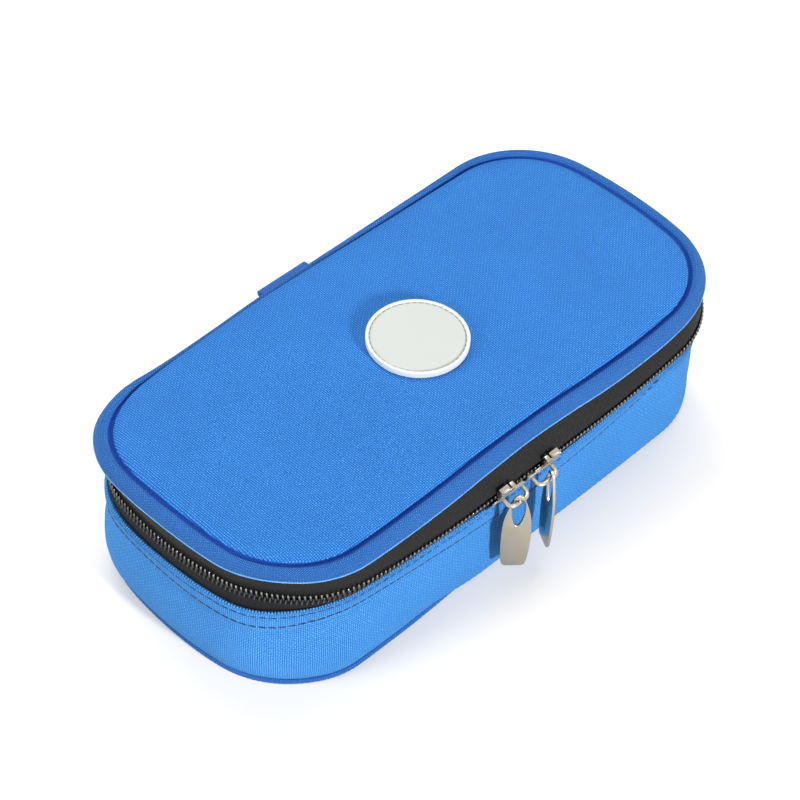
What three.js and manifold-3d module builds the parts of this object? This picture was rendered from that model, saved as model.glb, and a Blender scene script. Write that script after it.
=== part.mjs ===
// A soft zippered case that keeps insulin pens cool: a padded base tray, a padded lid on a fabric
// spine, a divider flap with elastic pen loops, two cooling gel packs and a zip with two sliders.
// Millimetres, +Z up. The origin is the middle of the case's flat underside, -Y is the zip's front
// and +Y is the spine.
import * as THREE from 'three';
import { mergeVertices } from 'three/addons/utils/BufferGeometryUtils.js';
import Module from 'manifold-3d';

const wasm = await Module();
wasm.setup();

// Driving dimensions
const clearance = 0.3;            // gap left between two pieces that touch
const caseLength = 205;           // across the lid's bound edge, end to end
const caseWidth = 100.5;          // across the lid's bound edge, front to back
const lidCornerRadius = 33;
const lidSideBow = 0.8;           // how far each long side bulges at its middle
const lidEndBow = 8;              // how far each end bulges at its middle
const baseInset = 2.4;            // the base is this much smaller than the lid all round
const hemTop = 31;                // height of the wall's hem above the underside
const lowerTapeShow = 6.9;        // from the hem up to the middle of the zip's teeth
const upperTapeShow = 7.7;        // from there up to the lid's bound edge

// Sheet and padding thicknesses
const wallFabric = 1.0;
const bottomFabric = 1.0;
const wallFoamThickness = 2.8;
const bottomFoamThickness = 3.0;
const linerThickness = 0.6;
const tapeThickness = 0.6;

// Base wall
const pipingHeight = 2.6;
const pipingProud = 0.8;
const pipingDepth = 1.8;
const hemHeight = 7.4;
const hemProud = 0.5;
const hemSlope = 0.5;
const frontLean = 1.2;            // how far the zip pulls the front wall's hem outward

// Lid
const bindingHeight = 6.9;
const bindingWidth = 4.4;
const coverCrown = 3.6;
const coverEdge = 1.7;
const stiffenerThickness = 0.8;
const lidFoamThickness = 3.2;
const lidLinerThickness = 0.5;
const linerDrop = 1.0;            // how far the lid's liner hangs below its bound edge

// Zip
const teethWidth = 5.6;           // across both rows of teeth
const teethThickness = 1.6;
const teethGap = 1.6;             // space between the two rows, where a slider's post passes
const frontBulge = 3.4;           // how far the teeth stand out past the base outline at the front
const endBulge = -0.2;            // the same at the two ends
const frontTilt = THREE.MathUtils.degToRad(20);
const tapeTuck = 7;               // how far the lower tape runs down inside the hem
const stopLength = 3;

// Sliders and pulls
const plateLength = 13.2;
const plateThickness = 0.9;
const plateCorner = 1.6;
const teethRoom = 0.45;           // slider running room in front of and behind the teeth
const edgeRoom = 0.35;            // slider running room past the outer edges of the teeth
const tapeRoom = 0.45;            // slider running room over the tape
const flangeThickness = 0.8;
const postLength = 3.2;
const postWidth = 0.9;
const postInset = 0.8;
const wireThickness = 1.5;
const crownLength = 9.6;
const crownReach = 4.1;
const crownBend = 1.6;
const pullLength = 31.5;
const pullWidth = 9.7;
const pullThickness = 1.4;
const pullNeckWidth = 6.8;
const pullTipWidth = 6;
const pullHoleWidth = 5;
const pullHoleLength = 10;
const pullArch = 1.5;
const pullRoom = 0.6;             // slack between a pull's hole and the wire that it hangs on
const crownShift = 0.5;           // how far a crown sits toward its slider's open end
const leftSliderPlace = -11.6;    // along the front, from the middle
const rightSliderPlace = 4.0;
const leftPullShift = -0.4;       // where a pull hangs on its crown's wire, from the wire's middle
const rightPullShift = -0.9;
const leftPullTurn = THREE.MathUtils.degToRad(-42);
const rightPullTurn = THREE.MathUtils.degToRad(62);

// Badge
const badgeDiameter = 33;
const badgeThickness = 1.6;
const badgeRimWidth = 1.5;
const badgeRecess = 0.4;
const badgeShiftX = 2.1;
const badgeShiftY = 1.0;

// Spine and hanging loop
const spineLength = 136;
const spineThickness = 0.6;
const spineGap = 0.45;            // between the lid's edge and the spine's inner face
const seamHeight = 2.2;
const loopWidth = 20;
const loopReach = 8.6;
const loopSlit = 1.2;             // between the folded strap's two layers
const loopThickness = 1.4;
const loopRise = 6.2;             // from the fold line up to the strap

// Divider and pen loops
const dividerInset = 3.4;         // in from the liner's inner face
const boardThickness = 1.4;
const faceThickness = 0.5;
const dividerBindingWidth = 2;
const dividerBindingHeight = 3.4;
const penLoopCount = 4;
const penLoopThickness = 0.8;
const penLoopFlat = 1.2;          // flat elastic sewn down between two loops
const penLoopMargin = 1.5;        // from the outer loops to the divider's bound edge
const penLoopHeadroom = 1.9;      // between the loops and the net in the lid
const penLoopBand = 22;
const penLoopInset = 36.5;        // from each end of the divider's board to the middle of its loops
const pullTabLength = 15;
const pullTabWidth = 12;
const pullTabThickness = 0.8;

// Gel packs
const packRoom = 6.6;             // room round each pack on the liner's floor
const packCorner = 9;
const packThickness = 14.2;
const packSeam = 4;

// Rim and net
const rimHeight = 1.6;
const rimRise = 0.8;
const netThickness = 0.7;
const netInset = 10;
const netBindingWidth = 6;
const netBindingThickness = 0.9;

// Steps round each kind of arc
const sideSteps = 8;
const endSteps = 6;
const cornerSteps = 8;

// Colours
const fabricBlue = 0x3f80cf;
const bindingBlue = 0x4a86d6;
const zipBlack = 0x2b2c2e;
const nickel = 0xbfb6a9;
const badgeGrey = 0xe0e5e2;
const foilSilver = 0xc9cdd2;
const foamWhite = 0xe9e9e4;
const boardGrey = 0x9a9b98;
const gelBlue = 0x8fc4e8;

// A rounded outline whose sides and ends are shallow arcs, met by round corners. Each station keeps
// its own outward direction, so an inset of the outline stays parallel to it everywhere.
function bowedOutline(length, width, corner, sideBow, endBow) {
  const a = length / 2;
  const b = width / 2;
  const sideRadius = (a * a + sideBow * sideBow) / (2 * sideBow);
  const endRadius = (b * b + endBow * endBow) / (2 * endBow);
  const sideCentre = new THREE.Vector2(0, b - sideRadius);
  const endCentre = new THREE.Vector2(a - endRadius, 0);
  const toEnd = endCentre.clone().sub(sideCentre);
  const span = toEnd.length();
  const r1 = sideRadius - corner;
  const r2 = endRadius - corner;
  const along = (span * span + r1 * r1 - r2 * r2) / (2 * span);
  const across = Math.sqrt(r1 * r1 - along * along);
  const unit = toEnd.clone().normalize();
  const cornerCentre = sideCentre.clone()
    .addScaledVector(unit, along)
    .add(new THREE.Vector2(unit.y, -unit.x).multiplyScalar(across));
  const sideTurn = cornerCentre.clone().sub(sideCentre).angle();
  const endTurn = cornerCentre.clone().sub(endCentre).angle();
  const flip = Math.PI;
  const x = cornerCentre.x;
  const y = cornerCentre.y;
  const arcs = [
    [0, sideCentre.y, sideRadius, sideTurn, flip - sideTurn, sideSteps],
    [-x, y, corner, flip - sideTurn, flip - endTurn, cornerSteps],
    [-endCentre.x, 0, endRadius, flip - endTurn, flip + endTurn, endSteps],
    [-x, -y, corner, flip + endTurn, flip + sideTurn, cornerSteps],
    [0, -sideCentre.y, sideRadius, flip + sideTurn, 2 * flip - sideTurn, sideSteps],
    [x, -y, corner, 2 * flip - sideTurn, 2 * flip - endTurn, cornerSteps],
    [endCentre.x, 0, endRadius, 2 * flip - endTurn, 2 * flip + endTurn, endSteps],
    [x, y, corner, endTurn, sideTurn, cornerSteps],
  ];
  const stations = [];
  for (const [cx, cy, radius, from, to, steps] of arcs) {
    for (let i = 0; i < steps; i += 1) {
      const angle = from + ((to - from) * i) / steps;
      stations.push({ cx, cy, radius, dx: Math.cos(angle), dy: Math.sin(angle) });
    }
  }
  return stations;
}

// A point that lies `out` beyond a station of an outline.
function outlinePoint(station, out) {
  return new THREE.Vector2(
    station.cx + (station.radius + out) * station.dx,
    station.cy + (station.radius + out) * station.dy,
  );
}

// How much of the front's shape a station has: 1 along the front, 0 at the ends and the back.
function frontShare(station) {
  const startShare = 0.35;
  return THREE.MathUtils.smoothstep(-station.dy, startShare, 1);
}

// A closed mesh from points and triangles, turned so that its faces point out.
function closedMesh(points, triangles) {
  let volume = 0;
  for (const [i, j, k] of triangles) {
    volume += points[i].dot(points[j].clone().cross(points[k]));
  }
  const geometry = new THREE.BufferGeometry();
  const numbers = points.flatMap((p) => [p.x, p.y, p.z]);
  geometry.setAttribute('position', new THREE.Float32BufferAttribute(numbers, 3));
  geometry.setIndex(triangles.flatMap(([i, j, k]) => (volume > 0 ? [i, j, k] : [i, k, j])));
  return geometry;
}

// A solid skinned over a stack of level rings, whose first and last are closed by a centre point.
function stacked(rings) {
  const count = rings[0].length;
  const points = rings.flat();
  const triangles = [];
  for (let level = 0; level < rings.length - 1; level += 1) {
    for (let i = 0; i < count; i += 1) {
      const next = (i + 1) % count;
      const lower = level * count;
      const upper = lower + count;
      triangles.push([lower + i, lower + next, upper + next], [lower + i, upper + next, upper + i]);
    }
  }
  const first = points.push(new THREE.Vector3(0, 0, rings[0][0].z)) - 1;
  const last = points.push(new THREE.Vector3(0, 0, rings[rings.length - 1][0].z)) - 1;
  const lastRing = (rings.length - 1) * count;
  for (let i = 0; i < count; i += 1) {
    const next = (i + 1) % count;
    triangles.push([first, next, i], [last, lastRing + i, lastRing + next]);
  }
  return closedMesh(points, triangles);
}

// A stack whose rings follow an outline. Each level is [out, height, share], where share shrinks the
// ring toward the middle.
function layered(stations, levels) {
  return stacked(levels.map(([out, height, share = 1]) => stations.map((station) => {
    const p = outlinePoint(station, out).multiplyScalar(share);
    return new THREE.Vector3(p.x, p.y, height);
  })));
}

// A band that follows an outline, with the same number of section corners at every station. Section
// corners are [out, height]. A closed band joins up with itself, an open one has flat ends.
function band(stations, sectionAt, closed) {
  const points = [];
  const triangles = [];
  let corners = 0;
  for (const station of stations) {
    const section = sectionAt(station);
    corners = section.length;
    for (const [out, height] of section) {
      const p = outlinePoint(station, out);
      points.push(new THREE.Vector3(p.x, p.y, height));
    }
  }
  const spans = closed ? stations.length : stations.length - 1;
  for (let i = 0; i < spans; i += 1) {
    const here = i * corners;
    const there = ((i + 1) % stations.length) * corners;
    for (let k = 0; k < corners; k += 1) {
      const next = (k + 1) % corners;
      triangles.push([here + k, there + k, there + next], [here + k, there + next, here + next]);
    }
  }
  if (!closed) {
    const contour = sectionAt(stations[0]).map(([out, height]) => new THREE.Vector2(out, height));
    const faces = THREE.ShapeUtils.triangulateShape(contour, []);
    const end = (stations.length - 1) * corners;
    const clockwise = THREE.ShapeUtils.isClockWise(contour);
    for (const [i, j, k] of faces) {
      const startFace = clockwise ? [i, k, j] : [i, j, k];
      triangles.push(startFace);
      triangles.push([end + startFace[0], end + startFace[2], end + startFace[1]]);
    }
  }
  return closedMesh(points, triangles);
}

// The boolean library's solid for a closed geometry, and the way back.
function toSolid(geometry) {
  const bare = geometry.clone();
  bare.deleteAttribute('normal');
  bare.deleteAttribute('uv');
  const merged = mergeVertices(bare);
  return new wasm.Manifold(new wasm.Mesh({
    numProp: 3,
    vertProperties: new Float32Array(merged.attributes.position.array),
    triVerts: new Uint32Array(merged.index.array),
  }));
}

function fromSolid(solid) {
  const mesh = solid.getMesh();
  const geometry = new THREE.BufferGeometry();
  geometry.setAttribute('position', new THREE.BufferAttribute(mesh.vertProperties, 3));
  geometry.setIndex(new THREE.BufferAttribute(mesh.triVerts, 1));
  return geometry;
}

// A box from its least and greatest corners.
function boxBetween(x0, x1, y0, y1, z0, z1) {
  const geometry = new THREE.BoxGeometry(x1 - x0, y1 - y0, z1 - z0);
  geometry.translate((x0 + x1) / 2, (y0 + y1) / 2, (z0 + z1) / 2);
  return geometry;
}

// A flat shape raised to a thickness, standing on z = 0.
function slab(shape, depth, curveSegments) {
  return new THREE.ExtrudeGeometry(shape, { depth, bevelEnabled: false, curveSegments });
}

function roundedRectangle(length, width, radius) {
  const a = length / 2 - radius;
  const b = width / 2 - radius;
  const quarter = Math.PI / 2;
  const shape = new THREE.Shape();
  shape.absarc(a, b, radius, 0, quarter);
  shape.absarc(-a, b, radius, quarter, 2 * quarter);
  shape.absarc(-a, -b, radius, 2 * quarter, 3 * quarter);
  shape.absarc(a, -b, radius, 3 * quarter, 4 * quarter);
  shape.closePath();
  return shape;
}

const insulinCase = new THREE.Group();

function addPiece(name, geometry, color, roughness = 0.9, metalness = 0, parent = insulinCase) {
  const mesh = new THREE.Mesh(geometry, new THREE.MeshStandardMaterial({ color, roughness, metalness }));
  mesh.name = name;
  parent.add(mesh);
  return mesh;
}

// Outlines of the lid and the base
const lidOutline = bowedOutline(caseLength, caseWidth, lidCornerRadius, lidSideBow, lidEndBow);
const baseLength = caseLength - 2 * baseInset;
const baseWidth = caseWidth - 2 * baseInset;
const baseOutline = bowedOutline(
  baseLength, baseWidth, lidCornerRadius - baseInset, lidSideBow, lidEndBow,
);

// Heights of the zip and the lid above the hem
const zipHeight = hemTop + lowerTapeShow;
const bindingBottom = zipHeight + upperTapeShow;

// How far the wall leans out at a height, which is nothing at the ends and the back.
function lean(station, height) {
  return (frontLean * frontShare(station) * height) / hemTop;
}

// Base: flat bottom, piped seam, fabric wall with its hem, foam, liner and bound rim
const bottomTop = bottomFabric;
addPiece('base_bottom_panel', layered(baseOutline, [
  [pipingProud - pipingDepth - clearance, 0],
  [pipingProud - pipingDepth - clearance, bottomTop],
]), fabricBlue);

addPiece('base_piping', band(baseOutline, () => [
  [pipingProud - pipingDepth, 0],
  [pipingProud - pipingDepth / 2, 0],
  [pipingProud, pipingHeight / 2],
  [pipingProud - pipingDepth / 2, pipingHeight],
  [pipingProud - pipingDepth, pipingHeight],
], true), bindingBlue);

const wallBottom = pipingHeight + clearance;
const hemBottom = hemTop - hemHeight;
addPiece('base_side_wall', band(baseOutline, (station) => [
  [-wallFabric, wallBottom],
  [0, wallBottom],
  [lean(station, hemBottom), hemBottom],
  [hemProud + lean(station, hemBottom), hemBottom + hemSlope],
  [hemProud + lean(station, hemTop), hemTop - hemSlope],
  [lean(station, hemTop), hemTop],
  [lean(station, hemTop) - wallFabric, hemTop],
  [lean(station, hemBottom) - wallFabric, hemBottom],
], true), fabricBlue);

const tapeOut = -wallFabric - clearance;
const foamOut = tapeOut - tapeThickness - clearance;
const foamTop = hemTop - wallFabric;
const bottomFoamTop = bottomTop + clearance + bottomFoamThickness;
addPiece('base_bottom_foam', layered(baseOutline, [
  [foamOut, bottomTop + clearance],
  [foamOut, bottomFoamTop],
]), foamWhite);

const linerBottom = bottomFoamTop + clearance;
const linerOut = foamOut - wallFoamThickness - clearance;
addPiece('base_wall_foam', band(baseOutline, () => [
  [foamOut, linerBottom],
  [foamOut, foamTop],
  [foamOut - wallFoamThickness, foamTop],
  [foamOut - wallFoamThickness, linerBottom],
], true), foamWhite);

const floorTop = linerBottom + linerThickness;
const linerIn = linerOut - linerThickness;
addPiece('base_foil_liner', layered(baseOutline, [
  [linerOut, linerBottom],
  [linerOut, foamTop],
  [linerIn, foamTop],
  [linerIn, floorTop],
]), foilSilver, 0.35, 0.4);

const rimBottom = foamTop + clearance;
const rimTop = rimBottom + rimHeight;
addPiece('base_rim_binding', band(baseOutline, () => [
  [foamOut, rimBottom],
  [foamOut, rimTop - rimRise],
  [foamOut - rimRise, rimTop],
  [linerIn + rimRise, rimTop],
  [linerIn, rimTop - rimRise],
  [linerIn, rimBottom],
], true), bindingBlue);

// Lid: bound edge, crowned cover, stiffener, foam, liner, net pocket and badge
const bindingTop = bindingBottom + bindingHeight;
const bindingSoft = bindingWidth / 4;
addPiece('lid_binding', band(lidOutline, () => [
  [-bindingWidth, bindingBottom],
  [-bindingSoft, bindingBottom],
  [0, bindingBottom + bindingSoft],
  [0, bindingTop - 2 * bindingSoft],
  [-bindingSoft, bindingTop - bindingSoft / 2],
  [-2 * bindingSoft, bindingTop],
  [-bindingWidth + bindingSoft / 2, bindingTop],
  [-bindingWidth, bindingTop - bindingSoft / 2],
], true), bindingBlue);

const panelOut = -bindingWidth - clearance;
const lidLinerBottom = bindingBottom - linerDrop;
const lidFoamBottom = lidLinerBottom + lidLinerThickness + clearance;
const stiffenerBottom = lidFoamBottom + lidFoamThickness + clearance;
const coverBottom = stiffenerBottom + stiffenerThickness + clearance;
const coverTop = coverBottom + coverCrown;
addPiece('lid_foil_liner', layered(lidOutline, [
  [panelOut, lidLinerBottom],
  [panelOut, lidLinerBottom + lidLinerThickness],
]), foilSilver, 0.35, 0.4);
addPiece('lid_foam', layered(lidOutline, [
  [panelOut, lidFoamBottom],
  [panelOut, lidFoamBottom + lidFoamThickness],
]), foamWhite);
addPiece('lid_stiffener', layered(lidOutline, [
  [panelOut, stiffenerBottom],
  [panelOut, stiffenerBottom + stiffenerThickness],
]), boardGrey);

// The cover's crown, as [share of the panel, share of the rise above its edge]
const crownShares = [
  [0.97, 0.45],
  [0.92, 0.7],
  [0.82, 0.86],
  [0.66, 0.95],
  [0.45, 1],
];
const coverRise = coverCrown - coverEdge;
addPiece('lid_cover', layered(lidOutline, [
  [panelOut, coverBottom],
  [panelOut, coverBottom + coverEdge],
  ...crownShares.map(([share, rise]) => [panelOut, coverBottom + coverEdge + coverRise * rise, share]),
]), fabricBlue);

const badgeBottom = coverTop + clearance;
const badgeTop = badgeBottom + badgeThickness;
const badgeRadius = badgeDiameter / 2;
const badgeFaceRadius = badgeRadius - badgeRimWidth;
const badgeProfile = [
  [0, badgeBottom],
  [badgeRadius, badgeBottom],
  [badgeRadius, badgeTop - badgeRecess],
  [badgeRadius - badgeRecess, badgeTop],
  [badgeFaceRadius, badgeTop],
  [badgeFaceRadius - badgeRecess, badgeTop - badgeRecess],
  [0, badgeTop - badgeRecess],
].map(([radius, height]) => new THREE.Vector2(radius, height));
const badgeSides = 48;
const badgeGeometry = new THREE.LatheGeometry(badgeProfile, badgeSides);
badgeGeometry.rotateX(Math.PI / 2);
badgeGeometry.translate(badgeShiftX, badgeShiftY, 0);
addPiece('badge', badgeGeometry, badgeGrey, 0.5);

// Net pocket under the lid: a bound frame that holds a flat net
const netTop = lidLinerBottom - clearance;
const netBindingOut = panelOut - netInset;
addPiece('lid_net_binding', band(lidOutline, () => [
  [netBindingOut, netTop],
  [netBindingOut, netTop - netBindingThickness],
  [netBindingOut - netBindingWidth, netTop - netBindingThickness],
  [netBindingOut - netBindingWidth, netTop],
], true), bindingBlue);
addPiece('lid_net_pocket', layered(lidOutline, [
  [netBindingOut - netBindingWidth - clearance, netTop],
  [netBindingOut - netBindingWidth - clearance, netTop - netThickness],
]), zipBlack);

// Zip. Its teeth run from one back corner round the front to the other back corner.
const zipStations = baseOutline.slice(sideSteps).concat(baseOutline[0]);
const halfGap = teethGap / 2;
const halfTeeth = teethWidth / 2;
const halfThickness = teethThickness / 2;
const halfTape = tapeThickness / 2;

// A point in the zip's own plane: `across` points up the plane and `proud` points out of it.
function zipPoint(station, proud, across) {
  const share = frontShare(station);
  const tilt = frontTilt * share;
  const out = THREE.MathUtils.lerp(endBulge, frontBulge, share);
  return [
    out + proud * Math.cos(tilt) + across * Math.sin(tilt),
    zipHeight - proud * Math.sin(tilt) + across * Math.cos(tilt),
  ];
}

function teethRow(from, to) {
  return (station) => [
    zipPoint(station, -halfThickness, from),
    zipPoint(station, halfThickness, from),
    zipPoint(station, halfThickness, to),
    zipPoint(station, -halfThickness, to),
  ];
}
addPiece('zip_teeth_lower', band(zipStations, teethRow(-halfTeeth, -halfGap), false), zipBlack, 0.4);
addPiece('zip_teeth_upper', band(zipStations, teethRow(halfGap, halfTeeth), false), zipBlack, 0.4);

const lowerEdge = -halfTeeth - clearance;
addPiece('zip_tape_lower', band(zipStations, (station) => {
  const tuckBottom = hemTop - tapeTuck;
  const low = lean(station, tuckBottom);
  const high = lean(station, hemTop);
  return [
    [tapeOut - tapeThickness + low, tuckBottom],
    [tapeOut + low, tuckBottom],
    [tapeOut + high, hemTop],
    zipPoint(station, halfTape, lowerEdge),
    zipPoint(station, -halfTape, lowerEdge),
    [tapeOut - tapeThickness + high, hemTop],
  ];
}, false), zipBlack);

const upperEdge = halfTeeth + clearance;
const upperTapeTop = bindingBottom - clearance;
const upperTapeOut = baseInset - bindingSoft;
addPiece('zip_tape_upper', band(zipStations, (station) => [
  zipPoint(station, -halfTape, upperEdge),
  zipPoint(station, halfTape, upperEdge),
  [upperTapeOut, upperTapeTop],
  [upperTapeOut - tapeThickness, upperTapeTop],
], false), zipBlack);

// Spine at the back, with the seam on the wall that it folds from
const baseBack = baseWidth / 2;
const hingeY = baseBack + baseInset + spineGap + spineThickness / 2;
const spineTop = bindingBottom - clearance;
addPiece('hinge_spine', boxBetween(
  -spineLength / 2, spineLength / 2,
  hingeY - spineThickness / 2, hingeY + spineThickness / 2,
  hemTop, spineTop,
), fabricBlue);
addPiece('hinge_seam_binding', boxBetween(
  -spineLength / 2, spineLength / 2,
  baseBack + hemProud + clearance, hingeY - spineThickness / 2 - clearance,
  hemTop - clearance - seamHeight, hemTop - clearance,
), bindingBlue);

// A webbing strap folded double on itself and sewn to the spine
const loopHeight = 2 * loopThickness + loopSlit;
const loopOuter = roundedRectangle(loopReach, loopHeight, loopThickness);
const loopInner = roundedRectangle(loopReach - 2 * loopThickness, loopSlit, loopSlit / 4);
loopOuter.holes.push(loopInner);
const loopGeometry = slab(loopOuter, loopWidth, 3);
loopGeometry.rotateX(Math.PI / 2);
loopGeometry.rotateZ(Math.PI / 2);
loopGeometry.translate(
  -loopWidth / 2,
  hingeY + spineThickness / 2 + clearance + loopReach / 2,
  hemTop + loopRise + loopHeight / 2,
);
addPiece('webbing_loop', loopGeometry, bindingBlue);

// End stops, clamped on the tapes past the last teeth at each end of the zip
const stopHalf = halfTeeth + clearance;
for (const [side, sign] of [['left', -1], ['right', 1]]) {
  const station = zipStations[sign < 0 ? 0 : zipStations.length - 1];
  const place = outlinePoint(station, endBulge);
  const stop = boxBetween(
    clearance, clearance + stopLength,
    -halfThickness, halfThickness,
    zipHeight - stopHalf, zipHeight + stopHalf,
  );
  const mesh = addPiece(`zip_end_stop_${side}`, stop, nickel, 0.35, 0.9);
  mesh.position.set(place.x, place.y, 0);
  mesh.rotation.z = Math.atan2(station.dy, station.dx) - Math.PI / 2 + (sign > 0 ? Math.PI : 0);
}

// Sliders. Each stands in a frame whose X runs along the teeth, whose -Y points out of the zip's
// plane and whose Z points up that plane.
const plateFront = halfThickness + teethRoom + plateThickness;
const plateBack = halfThickness + teethRoom;
const plateHalfWidth = halfTeeth + edgeRoom + flangeThickness;
const innerPlateHalfWidth = halfTeeth - edgeRoom;

function sliderPlate(halfWidth, near) {
  const plate = slab(roundedRectangle(plateLength, 2 * halfWidth, plateCorner), plateThickness, 4);
  plate.rotateX(Math.PI / 2);
  plate.translate(0, near + plateThickness, 0);
  return toSolid(plate);
}

function sliderBody(openEnd) {
  let body = sliderPlate(plateHalfWidth, -plateFront).add(sliderPlate(innerPlateHalfWidth, plateBack));
  const flangeHalfLength = plateLength / 2 - plateCorner;
  for (const sign of [-1, 1]) {
    const inner = sign * (plateHalfWidth - flangeThickness);
    const outer = sign * plateHalfWidth;
    body = body.add(toSolid(boxBetween(
      -flangeHalfLength, flangeHalfLength,
      -plateFront + plateThickness / 2, -halfTape - tapeRoom,
      Math.min(inner, outer), Math.max(inner, outer),
    )));
  }
  const postEnd = plateLength / 2 - postInset;
  const postFrom = openEnd > 0 ? postEnd - postLength : -postEnd;
  return fromSolid(body.add(toSolid(boxBetween(
    postFrom, postFrom + postLength,
    -plateFront + plateThickness / 2, plateFront - plateThickness / 2,
    -postWidth / 2, postWidth / 2,
  ))));
}

// The crown is a wire bent out from the plate's face and back, long way along the zip.
const wireRadius = wireThickness / 2;
const crownFace = -plateFront - clearance;
const wireLine = -plateFront - crownReach + wireRadius;
function crownWire() {
  const half = crownLength / 2 - wireRadius;
  const point = (x, y) => new THREE.Vector3(x, y, 0);
  const path = new THREE.CurvePath();
  path.add(new THREE.LineCurve3(point(-half, crownFace), point(-half, wireLine + crownBend)));
  path.add(new THREE.QuadraticBezierCurve3(
    point(-half, wireLine + crownBend), point(-half, wireLine), point(-half + crownBend, wireLine),
  ));
  path.add(new THREE.LineCurve3(point(-half + crownBend, wireLine), point(half - crownBend, wireLine)));
  path.add(new THREE.QuadraticBezierCurve3(
    point(half - crownBend, wireLine), point(half, wireLine), point(half, wireLine + crownBend),
  ));
  path.add(new THREE.LineCurve3(point(half, wireLine + crownBend), point(half, crownFace)));
  const section = new THREE.Shape();
  section.absarc(0, 0, wireRadius, 0, 2 * Math.PI);
  const wireSteps = 24;
  return new THREE.ExtrudeGeometry(section, { steps: wireSteps, extrudePath: path, curveSegments: 5 });
}

// A pull is a flat leaf with a drop-shaped hole near its top, hung with its top edge up.
const pullTop = wireRadius + pullRoom + pullArch;
function pullLeaf() {
  const shoulder = pullTop - pullNeckWidth / 2;
  const bottom = pullTop - pullLength;
  const bellyShare = 0.62;
  const belly = pullTop - bellyShare * pullLength;
  const bulgeShare = 0.3;
  const bulge = bulgeShare * pullLength;
  const neck = pullNeckWidth / 2;
  const wide = pullWidth / 2;
  const tip = pullTipWidth / 2;
  const leaf = new THREE.Shape();
  leaf.absarc(0, shoulder, neck, 0, Math.PI);
  leaf.bezierCurveTo(-neck, shoulder - bulge / 2, -wide, belly + bulge, -wide, belly);
  leaf.bezierCurveTo(-wide, belly - bulge / 2, -tip, bottom + bulge / 2, -tip, bottom + tip / 2);
  leaf.quadraticCurveTo(-tip, bottom, 0, bottom);
  leaf.quadraticCurveTo(tip, bottom, tip, bottom + tip / 2);
  leaf.bezierCurveTo(tip, bottom + bulge / 2, wide, belly - bulge / 2, wide, belly);
  leaf.bezierCurveTo(wide, belly + bulge, neck, shoulder - bulge / 2, neck, shoulder);
  const holeRadius = pullHoleWidth / 2;
  const holeTop = pullTop - pullArch;
  const holeCentre = holeTop - holeRadius;
  const holeEnd = holeTop - pullHoleLength;
  const hole = new THREE.Path();
  hole.absarc(0, holeCentre, holeRadius, Math.PI, 0, true);
  hole.bezierCurveTo(holeRadius, holeCentre - holeRadius, holeRadius / 2, holeEnd, 0, holeEnd);
  hole.bezierCurveTo(
    -holeRadius / 2, holeEnd, -holeRadius, holeCentre - holeRadius, -holeRadius, holeCentre,
  );
  leaf.holes.push(hole);
  const geometry = slab(leaf, pullThickness, 6);
  geometry.translate(0, 0, -pullThickness / 2);
  geometry.rotateX(Math.PI / 2);
  return geometry;
}

// The two sliders face each other, and openEnd says which end of each takes in the open zip.
for (const [side, place, openEnd, pullTurn, pullShift] of [
  ['left', leftSliderPlace, 1, leftPullTurn, leftPullShift],
  ['right', rightSliderPlace, -1, rightPullTurn, rightPullShift],
]) {
  const frame = new THREE.Group();
  frame.position.set(place, -baseWidth / 2 - frontBulge, zipHeight);
  frame.rotation.x = frontTilt;
  insulinCase.add(frame);
  addPiece(`slider_${side}`, sliderBody(openEnd), nickel, 0.3, 1, frame);
  const crown = addPiece(`slider_${side}_crown`, crownWire(), nickel, 0.3, 1, frame);
  crown.position.x = openEnd * crownShift;
  const hang = new THREE.Group();
  hang.position.set(openEnd * crownShift + pullShift, wireLine, 0);
  hang.rotation.x = -frontTilt;
  frame.add(hang);
  const pull = addPiece(`pull_${side}`, pullLeaf(), nickel, 0.3, 1, hang);
  pull.rotation.z = pullTurn;
}

// Gel packs: two flat cushions side by side on the liner's floor, with a flat seam round the middle
const packBottom = floorTop + clearance;
const linerBack = baseBack + linerIn;
const linerEnd = baseLength / 2 + linerIn;
const packWidth = 2 * (linerBack - packRoom);
const packLength = linerEnd - 1.5 * packRoom;
const packPlace = (packLength + packRoom) / 2;
const packOutline = roundedRectangle(packLength, packWidth, packCorner);
const packStations = packOutline.getPoints(3).slice(0, -1);
// Each level as [share of the seam's width taken off, share of the thickness]
const packShares = [
  [4, 0],
  [2.2, 0.05],
  [1, 0.25],
  [0.9, 0.45],
  [0, 0.47],
  [0, 0.53],
  [0.9, 0.55],
  [1, 0.75],
  [2.2, 0.95],
  [4, 1],
];
function gelPack() {
  return stacked(packShares.map(([seamShare, riseShare]) => packStations.map((p) => new THREE.Vector3(
    p.x * (1 - (2 * seamShare * packSeam) / packLength),
    p.y * (1 - (2 * seamShare * packSeam) / packWidth),
    packBottom + riseShare * packThickness,
  ))));
}
addPiece('gel_pack_left', gelPack(), gelBlue, 0.4).position.x = -packPlace;
addPiece('gel_pack_right', gelPack(), gelBlue, 0.4).position.x = packPlace;

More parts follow.
